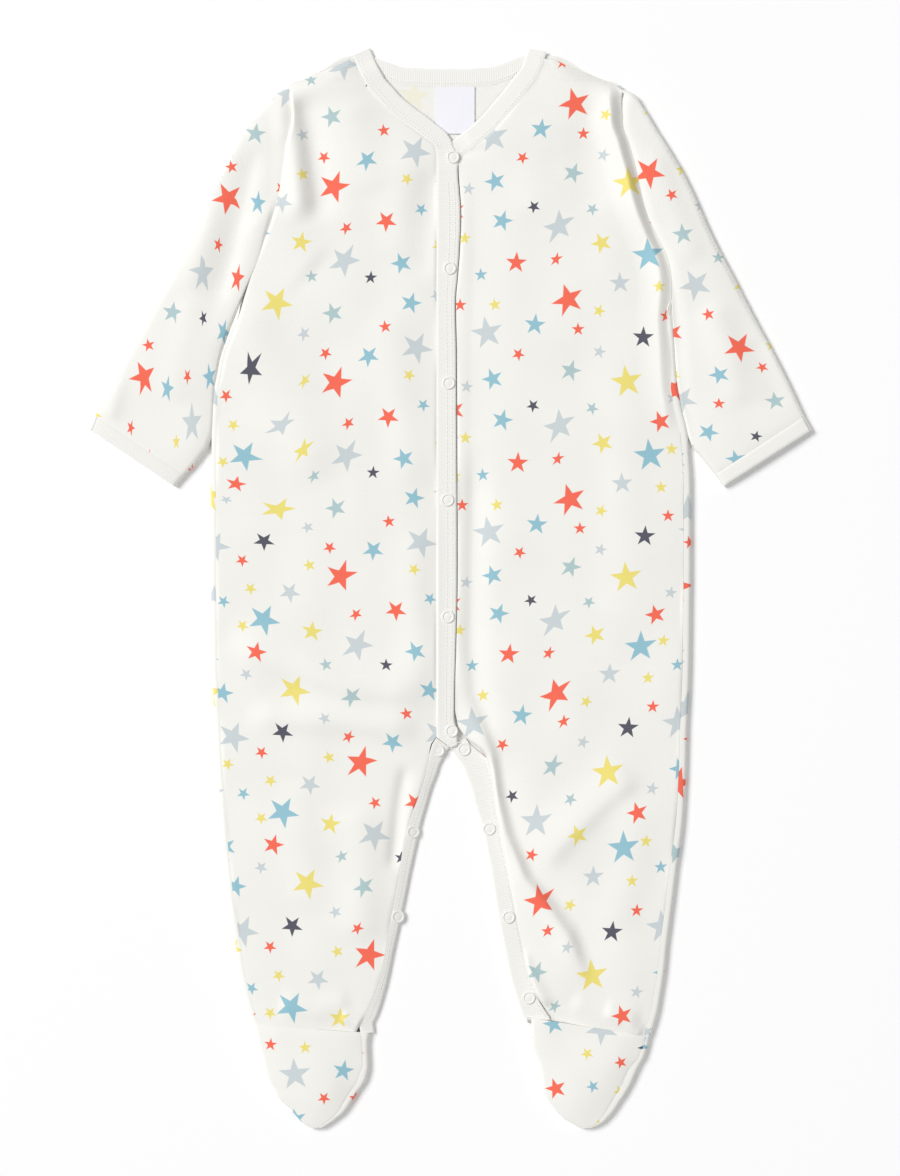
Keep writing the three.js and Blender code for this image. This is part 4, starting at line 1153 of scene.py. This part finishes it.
# %% [markdown]
# ## The band that turns into the placket
# One strip of rib binds the neckline on the viewer's left, turns round the point of the V and runs on down
# the front as the upper placket. Its ribs fan round the corner. The lower placket lies under it, and both
# end in a point that is tacked down at the crotch.

# %% Placket
PLACKET = {"left": -8.6, "right": 4.4, "inset": 0.5, "top": 251.0, "end": -88.0, "point": -94.6}
POINT_SLOPE = 0.72
PLACKET_FOLLOWS = -82.0  # from here up its free edge goes over to the edge of the front under it
PLACKET_WIDTH = 12.0
PLACKET_FOLD_ROUND = 1.0
PLACKET_ROWS = 170
PLACKET_LEAN = table(  # how high the upper band stands up beside its front, in mm
    ["y", "height"],
    [(250, 0.25), (120, 0.2), (60, 0.25), (20, 0.7), (-50, 0.7), (-88, 0.25)],
)["height"]
LEAN_RUN = 8.0


def pointed_end(x):
    return PLACKET["point"] + POINT_SLOPE * np.abs(x)


def placket_right(y):
    """Free edge of the placket: it wanders with the front that it lies on, down to its point."""
    limit = PLACKET["right"] + np.maximum(y - PLACKET_FOLLOWS, 0)
    return np.minimum(FRONT_EDGE[1]["x"](y), limit) - PLACKET["inset"]


def placket_plan(t):
    down = np.linspace(0, 1, PLACKET_ROWS + 1)[1:, None]
    nominal = mix(PLACKET["top"], PLACKET["end"], down)
    x = mix(PLACKET["left"], placket_right(nominal), t)
    return stacked(x, mix(PLACKET["top"], pointed_end(x), down))


def placket_drop(t):
    across = t * PLACKET_WIDTH
    return SEAM_DROP * fall(across, SEAM_ROUND) + FREE_DROP * fall(PLACKET_WIDTH - across, PLACKET_FOLD_ROUND)


t = uneven(BAND_COLUMNS + 4)
neck_rows = len(neck_y)
right_seam, right_free = beside(-1, neck_y, NECK_WIDTH[-1](neck_y))
neck_plan = mix(right_seam[:, None], right_free[:, None], t[None, :, None])
plan = np.concatenate([neck_plan, placket_plan(t)])
z = np.append(FRONT_EDGE[-1]["z"](neck_y), np.full(PLACKET_ROWS, TOP_OF[2]))[:, None] - placket_drop(t)
lean = PLACKET_LEAN(plan[..., 1]) * fall(np.abs(plan[..., 0] - PLACKET["left"]), LEAN_RUN)
z[neck_rows:] += lean[neck_rows:] * (1 - fall(t * PLACKET_WIDTH, SEAM_ROUND))
z[:neck_rows] -= NECK_LEAN * above_point * t
UPPER_BAND = np.concatenate([plan, z[..., None]], axis=-1)
rib_sheet("rib_neck_and_placket", UPPER_BAND, "neck_band_right", "placket_upper")
plan = placket_plan(t)
z = np.broadcast_to(TOP_OF[1] - placket_drop(t), plan.shape[:2])
rib_sheet("rib_placket_under", np.concatenate([plan, z[..., None]], axis=-1), "placket_under")
print("upper band rows", len(UPPER_BAND))

# %% [markdown]
# ## Inseam bands
# The legs open along the inseam too: a band on each front leg lies over one long band that runs down the
# back of one leg, through the crotch and down the other.

# %% Inseam bands
BAND_DIP = 2.0  # mm that the free edges lie lower, down to 8 mm above the ankle
BAND_END = -255.5
LEG_LEAN = {-1: 1.9, 1: 0.0}  # how far a band leans down to its free edge, by side
LEG_LEAN_MIDDLE = 0.75  # share of its lean that the band's sewn edge is higher
leg_y = np.linspace(-101, ANKLE + 3, 80)
free_y = leg_y - BAND_DIP * np.clip((leg_y - ANKLE) / 8, 0, 1)


def leg_edge(start, x_at, y):
    """A long edge of a band in plan: its start, the rows down the leg, its end on the ankle seam."""
    end = float(x_at(BAND_END))
    return start + list(zip(x_at(leg_y), y)) + [(end, float(ankle_at(end)))]


back_seam = []
back_free = []
for name, side in (("right", -1), ("left", 1)):
    edge = FRONT_EDGE[side]["x"]
    start_seam = [(side * 8.7, pointed_end(8.7) - 0.4), (side * 11.1, -92.6)]
    start_free = [(side * 0.4, pointed_end(0.4) - 0.4), (side * 3.3, -98)]
    band(f"rib_leg_front_{name}", leg_edge(start_seam, lambda y: edge(y) + side * UNDERLAP, leg_y),
         leg_edge(start_free, INSEAM[side], free_y), TOP_OF[1] + LEG_LEAN[side] * LEG_LEAN_MIDDLE,
         f"leg_band_front_{name}", lean=LEG_LEAN[side])
    seam = leg_edge([(side * CROTCH_HALF, CROTCH_TOP)], lambda y: back_band_edge(y, side), leg_y)
    free = leg_edge([(side * 1.2, -95.8)], INSEAM[side], free_y)
    back_seam += seam[::side]
    back_free += free[::side]
band("rib_leg_back", back_seam, back_free, TOP_OF[0], "leg_band_back")
print("bands", sorted(BANDS))

# %% [markdown]
# ## Feet
# A foot is a sole and a top. The sole lies on the table and curls up at both sides, further over on the
# viewer's right, where the seam shows. The top covers it and comes down to it on the other side.

# %% Feet
FEET = {
    "right": table(
        ["y", "left", "right", "lap"],
        [(-258, -116.6, -47.4, 6), (-268, -114.6, -49, 3), (-280, -111.4, -48.6, 2.9), (-286, -110, -49.4, 4),
         (-298, -104.5, -55.4, 4.2), (-304, -100.9, -59, 4), (-309, -95, -62.1, 3.6), (-314, -91, -67.2, 3),
         (-317.5, -87.5, -71.8, 2.9), (-320, -83.4, -75.6, 2.8)],
    ),
    "left": table(
        ["y", "left", "right", "lap"],
        [(-258, 47.6, 118.6, 2.9), (-274, 48.1, 115, 2.9), (-280, 50.6, 112, 4.2), (-286, 52.7, 109.6, 5.1),
         (-298, 54.8, 104.1, 5), (-304, 57.4, 100.4, 4.7), (-309, 61.5, 97.3, 4.4), (-314, 66.2, 93.3, 3.5),
         (-317.5, 71.8, 89.5, 2.9), (-320, 76.6, 84.4, 2.8)],
    ),
}
FOOT_FLAT = 36
FOOT_ROWS = 44
SOLE_TURN = 1.6
TOP_RADIUS = FOLD_RADIUS - GAP
FOOT_SIDE_RUN = 16.0  # mm in which a foot rises from its sides,
TOE_RUN = 20.0  # from its toe
DENT_RUN = 8.0  # and its dents from the ankle seam
DENT_HEIGHT = 0.35
DENT_WIDTH = 9.0
DENT_LENGTH = 13.0


def foot_y(y, x):
    return mix(ankle_at(x), TOE, (ANKLE - y) / (ANKLE - TOE))


def foot_relief(x, y):
    """A foot's own soft dents: the folds near the ankle, fading towards the toe."""
    return relief(x, y) + DENT_HEIGHT * np.sin(x / DENT_WIDTH + 1.0) * np.sin((y + 262) / DENT_LENGTH)


def curled_column(turn, length, radius):
    """The same curl on every row of a foot."""
    rows = np.ones(FOOT_ROWS + 1)
    return curl(rows * turn, rows * length, radius)


foot_rows = ANKLE + (TOE - ANKLE) * np.sin(np.linspace(0, math.pi / 2, FOOT_ROWS + 1))
near_in, near_up = curled_column(SOLE_TURN, SOLE_TURN * FOLD_RADIUS, FOLD_RADIUS)
down_in, down = curled_column(math.pi / 2, math.pi / 2 * TOP_RADIUS, TOP_RADIUS)
for name, foot in FEET.items():
    left, right, lap = (foot[key](foot_rows)[:, None] for key in ("left", "right", "lap"))
    far_in, far_up = curled_column(math.pi, strip_length(math.pi, lap[:, 0]), FOLD_RADIUS)
    near_x = left + near_in
    far_x = (right - far_in)[:, ::-1]
    flat = mix(near_x[:, -1:], far_x[:, :1], np.linspace(0, 1, FOOT_FLAT + 1)[1:-1])
    x = side_by_side(near_x, flat, far_x)
    z = side_by_side(near_up, np.zeros(flat.shape), far_up[:, ::-1])
    y = foot_rows[:, None]
    printed_sheet(f"cloth_sole_{name}", stacked(x, foot_y(y, x), z), f"sole_{name}", way="down")

    seam_x = right - lap
    down_x = left + down_in
    flat = mix(down_x[:, -1:], seam_x, uneven(FOOT_FLAT)[1:])
    x = side_by_side(down_x, flat)
    drop = side_by_side(down, np.zeros(flat.shape))
    settled = (1 - fall(np.minimum(x - left, seam_x - x), FOOT_SIDE_RUN)) * (1 - fall(y - TOE, TOE_RUN))
    crown = FOOT_CROWN * settled + foot_relief(x, y) * settled * (1 - fall(ANKLE - y, DENT_RUN))
    rounded = SEAM_DROP * np.maximum(fall(seam_x - x, SEAM_RUN), fall(ANKLE - y, SEAM_RUN))
    points = stacked(x, foot_y(y, x), TOP_OF[2] + crown - np.maximum(drop, rounded))
    printed_sheet(f"cloth_foot_top_{name}", points, f"foot_top_{name}")
print("feet", points.shape)

# %% [markdown]
# ## Stitches
# Two rows of stitches hold the placket's folded edge, and single rows the bindings. Each stitch is a short
# spindle of thread that lies on the cloth. All the stitches of a row are one mesh, worked out at once.

# %% Stitches
SPINDLE = np.array([(-0.5, 0.3), (-0.32, 1.0), (0.32, 1.0), (0.5, 0.3)])  # place along, share of the radius
SPINDLE_SIDES = 6
THREAD_RADIUS = 0.2
LONG_STITCH = (2.3, 1.7)  # pitch and length
SHORT_STITCH = (1.9, 1.3)


def stitches(name, line, pitch, length):
    """Spindles of thread along a line of points in table millimetres."""
    line = np.asarray(line, float)
    run = travelled(line)
    at = np.arange(pitch / 2, run[-1], pitch)

    def place(s):
        return stacked(*(np.interp(s, run, line[:, k]) for k in range(3)))

    along = place(at + THREAD_RADIUS) - place(at - THREAD_RADIUS)
    along /= np.linalg.norm(along, axis=-1, keepdims=True)
    across = np.cross(along, [0.0, 0.0, 1.0])
    across /= np.linalg.norm(across, axis=-1, keepdims=True)
    up = np.cross(across, along)
    angle = np.linspace(0, 2 * math.pi, SPINDLE_SIDES, endpoint=False)
    round_it = across[:, None] * np.cos(angle)[None, :, None] + up[:, None] * np.sin(angle)[None, :, None]
    points = (place(at)[:, None, None] + along[:, None, None] * (SPINDLE[:, 0] * length)[None, :, None, None]
              + round_it[:, None] * (SPINDLE[:, 1] * THREAD_RADIUS)[None, :, None, None])
    rings = len(SPINDLE)
    first = (np.arange(len(at)) * rings * SPINDLE_SIDES)[:, None]
    quads = first[..., None] + grid_faces(rings, SPINDLE_SIDES, True, False)[:, [0, 3, 2, 1]]
    near = first + np.arange(SPINDLE_SIDES)
    far = first + rings * SPINDLE_SIDES - 1 - np.arange(SPINDLE_SIDES)
    faces = quads.reshape(-1, 4).tolist() + near.tolist() + far.tolist()
    new_piece(name, points.reshape(-1, 3) + SHIFT, faces, [THREAD], "cotton_rib")


def line_on(points, share, lift=0.02):
    """A line along a grid of points, at a share of the way from its first to its last column."""
    t = uneven(points.shape[1] - 1)
    k = int(np.clip(np.searchsorted(t, share) - 1, 0, len(t) - 2))
    line = mix(points[:, k], points[:, k + 1], (share - t[k]) / (t[k + 1] - t[k]))
    return line + [0, 0, lift]


PLACKET_LINES = {"outer": 0.79, "inner": 0.54}
NECK_LINES = {"outer": 0.16, "inner": 0.34}
NECK_ROWS = 44
for name, share in PLACKET_LINES.items():
    stitches(f"stitches_placket_{name}", line_on(UPPER_BAND, share)[neck_rows + 4 : -6], *LONG_STITCH)
for name, share in NECK_LINES.items():
    stitches(f"stitches_neck_right_{name}", line_on(UPPER_BAND, share)[2:NECK_ROWS], *SHORT_STITCH)
BAND_LINES = [  # piece, band, share of its width, rows left out at both ends, stitch
    ("neck_left", "rib_neck_left", 0.2, slice(2, -6), SHORT_STITCH),
    ("neck_back", "rib_neck_back", 0.2, slice(None), SHORT_STITCH),
    ("leg_right", "rib_leg_front_right", 0.5, slice(2, -2), LONG_STITCH),
    ("leg_left", "rib_leg_front_left", 0.14, slice(3, -2), LONG_STITCH),
]
for name, of_band, share, rows, stitch in BAND_LINES:
    stitches(f"stitches_{name}", line_on(BANDS[of_band], share)[rows], *stitch)
TACK = {"left": -2.6, "right": 2.8, "low": -94.8, "slope": 0.35, "step": 0.95}
TACK_THREAD = np.array([3.2, 3.8, 0.0])  # from one end of a tack to its other
for k, x in enumerate(np.arange(TACK["left"], TACK["right"], TACK["step"])):
    start = np.array([x, TACK["low"] + TACK["slope"] * abs(x), TOP_OF[2] - 0.05])
    stitches(f"stitches_tack_{k}", [start, start + TACK_THREAD], 5.0, 4.75)

# %% [markdown]
# ## Snaps
# A ring snap is a ring with prongs: the ring shows, and the cloth stands up a little in its middle. The ring
# is a profile turned about an axis, and the cloth in it a low dome.

# %% Ring snaps
SNAP_RING = 3.2  # radius of the ring's middle
SNAP_HALF = 0.6  # half the ring's width
SNAP_RISE = 0.75
SNAP_FLATTER = 0.7  # power that makes the ring's section flatter than round
DOME_START = 0.1  # height of the cloth in the ring, at the ring
DOME_RISE = 0.5  # and how much more it is in the middle
DOME_HOLE = 0.05
SNAP_SIDES = 48
RING_POINTS = 16
DOME_POINTS = 7
SNAP_LIFT = GAP - 0.1
SNAP_LEAN = 0.3  # slope of the leaning band under the snaps of one leg


def turned_profile(radius, height, closed):
    """A profile turned about the z axis: the points, each going round at its own radius, and the quads."""
    angle = np.linspace(0, 2 * math.pi, SNAP_SIDES, endpoint=False)
    points = np.stack([np.outer(np.cos(angle), radius), np.outer(np.sin(angle), radius),
                       np.broadcast_to(height, (SNAP_SIDES, len(radius)))], axis=-1)
    count = len(radius)
    j, i = np.meshgrid(np.arange(SNAP_SIDES), np.arange(count if closed else count - 1), indexing="ij")
    after = (j + 1) % SNAP_SIDES
    onward = (i + 1) % count
    quads = stacked(j * count + i, after * count + i, after * count + onward, j * count + onward)
    return points.reshape(-1, 3), quads.reshape(-1, 4)


def ring_snap(node):
    """One snap on its CAD node's place: a closed ring and a dome of rib."""
    low, high = (np.array(corner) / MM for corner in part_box(node))
    base = np.array([(low[0] + high[0]) / 2, (low[1] + high[1]) / 2, low[2] - SNAP_LIFT])
    section = np.linspace(0, 2 * math.pi, RING_POINTS, endpoint=False)
    swell = np.sign(np.sin(section)) * np.abs(np.sin(section)) ** SNAP_FLATTER
    across = SNAP_RING + SNAP_HALF * np.cos(section)
    ring, ring_quads = turned_profile(across, SNAP_RISE / 2 * (1 + swell), True)
    reach = np.linspace(SNAP_RING, DOME_HOLE, DOME_POINTS)
    dome, dome_quads = turned_profile(reach, DOME_START + DOME_RISE * (1 - (reach / SNAP_RING) ** 2), False)
    points = np.concatenate([ring, dome])
    if node.startswith("snap_leg_right"):
        points[:, 2] -= SNAP_LEAN * points[:, 0]
    points = points + base
    cap = [[len(ring) + k * DOME_POINTS + DOME_POINTS - 1 for k in range(SNAP_SIDES)]]
    faces = ring_quads.tolist() + (dome_quads + len(ring)).tolist() + cap
    piece = new_piece(node.replace("snap", "ring_snap"), points, faces, [SNAP, KNITTED_RIB], "snap_plastic")
    mesh = piece.data
    kinds = np.repeat([0, 1], [len(ring_quads), len(dome_quads) + 1])
    mesh.polygons.foreach_set("material_index", kinds.astype(np.int32))
    loops = np.empty(len(mesh.loops), np.int32)
    mesh.loops.foreach_get("vertex_index", loops)
    rib_uv = points[loops][:, [1, 0]]
    mesh.uv_layers.new(name="cloth").data.foreach_set("uv", rib_uv.ravel().astype(np.float32))
    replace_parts(piece, node)


SNAP_NODES = sorted(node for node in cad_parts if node.startswith("snap_"))
for node in SNAP_NODES:
    ring_snap(node)
print("snaps", len(SNAP_NODES))

# %% [markdown]
# ## The neck label
# A bare woven label, sewn in under the back neck band. Its free end lifts a little, so it throws a soft
# shadow.

# %% Label
LABEL = {"left": -9.1, "right": 14.1, "bottom": 269.7, "top": 297.6, "thickness": 0.3, "lift": 0.25}
LABEL_LEAN = 0.25  # how far it rises to the viewer's right
LABEL_BULGE = 0.35  # and how far its free end stands up in the middle
label_x = np.linspace(LABEL["left"], LABEL["right"], 20)[None, :]
label_y = np.linspace(LABEL["bottom"], LABEL["top"], 24)[:, None]
across = (label_x - LABEL["left"]) / (LABEL["right"] - LABEL["left"])
up = (LABEL["top"] - label_y) / (LABEL["top"] - LABEL["bottom"])
label_z = TOP_OF[0] + LABEL["lift"] + LABEL_LEAN * across**2 + LABEL_BULGE * np.sin(math.pi * across) * up
label_points = stacked(label_x, label_y, label_z)
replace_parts(sheet("label", label_points, LABEL["thickness"], [LABEL_CLOTH], "woven_label"), "neck_label")
print("label in mm", round(LABEL["right"] - LABEL["left"], 1), "by", round(LABEL["top"] - LABEL["bottom"], 1))

# %% [markdown]
# ## Floor and light
# The picture's ground is white and its light soft, from the upper left. A wide area light stands for the
# soft box, a second for the fill, and a pale world keeps the shadows open.

# %% Floor, lights and world
FLOOR_HALF = 3000.0
FLOOR_DOWN = 0.2  # mm that the floor lies under the suit's lowest face
floor_mesh = bpy.data.meshes.new("floor")
corners = np.array([(-1, -1, 0), (1, -1, 0), (1, 1, 0), (-1, 1, 0)]) * FLOOR_HALF * MM
floor_mesh.from_pydata(corners.tolist(), [], [(0, 1, 2, 3)])
floor_material, floor_tree, floor_shader = new_material("painted pale floor")
floor_shader.inputs["Base Color"].default_value = linear("#FEFEFE")
floor_shader.inputs["Roughness"].default_value = 0.9
floor_mesh.materials.append(floor_material)
floor = bpy.data.objects.new("floor", floor_mesh)
bpy.context.scene.collection.objects.link(floor)
floor.location = (0, 0, -FLOOR_DOWN * MM)


def soft_box(name, place, size, power):
    """An area light at a place in metres, turned towards the suit."""
    light = bpy.data.lights.new(name, "AREA")
    light.size = size
    light.energy = power
    lamp = bpy.data.objects.new(name, light)
    bpy.context.scene.collection.objects.link(lamp)
    lamp.location = place
    lamp.rotation_euler = (-Vector(place)).to_track_quat("-Z", "Y").to_euler()


soft_box("key light", (-6.2, 3.1, 7.0), 4.0, 765)
soft_box("fill light", (1.2, -0.8, 2.6), 2.2, 13)
world = bpy.data.worlds.new("studio")
world.use_nodes = True
background = world.node_tree.nodes["Background"]
background.inputs["Color"].default_value = (1, 1, 1, 1)
background.inputs["Strength"].default_value = 0.35
bpy.context.scene.world = world
bpy.context.scene.view_settings.view_transform = "Standard"
bpy.context.scene.view_settings.look = "None"

# %% [markdown]
# ## Sizes of the cloth
# For each sheet, the area of its cloth is printed over the area of the cut before it was sewn and laid.

def declare(name, flat, share):
    """flat is the cut's bounding rectangle in mm and share the part of it that is cloth."""
    print(name, "cloth over cut", round(CLOTH_AREA[name] / (share * flat[0] * flat[1]), 2))


declare("back", (298, 580), 0.81)
for side in ("right", "left"):
    declare(f"cloth_front_{side}", (142, 576), 0.8)
    declare(f"cloth_sleeve_{side}", (150, 205), 0.66)
    declare(f"rib_cuff_{side}", (130, 10), 0.95)
    declare(f"cloth_sole_{side}", (78, 62), 0.8)
    declare(f"cloth_foot_top_{side}", (66, 62), 0.8)
declare("rib_leg_front_right", (10, 176), 0.75)
declare("rib_leg_front_left", (12, 178), 0.92)
declare("rib_neck_back", (106, 11), 0.85)
declare("rib_neck_left", (12, 96), 0.9)
declare("rib_neck_and_placket", (13, 440), 0.9)
declare("rib_placket_under", (12.4, 345), 0.98)
declare("rib_leg_back", (10, 360), 0.9)
declare("label", (23.2, 28), 1.0)
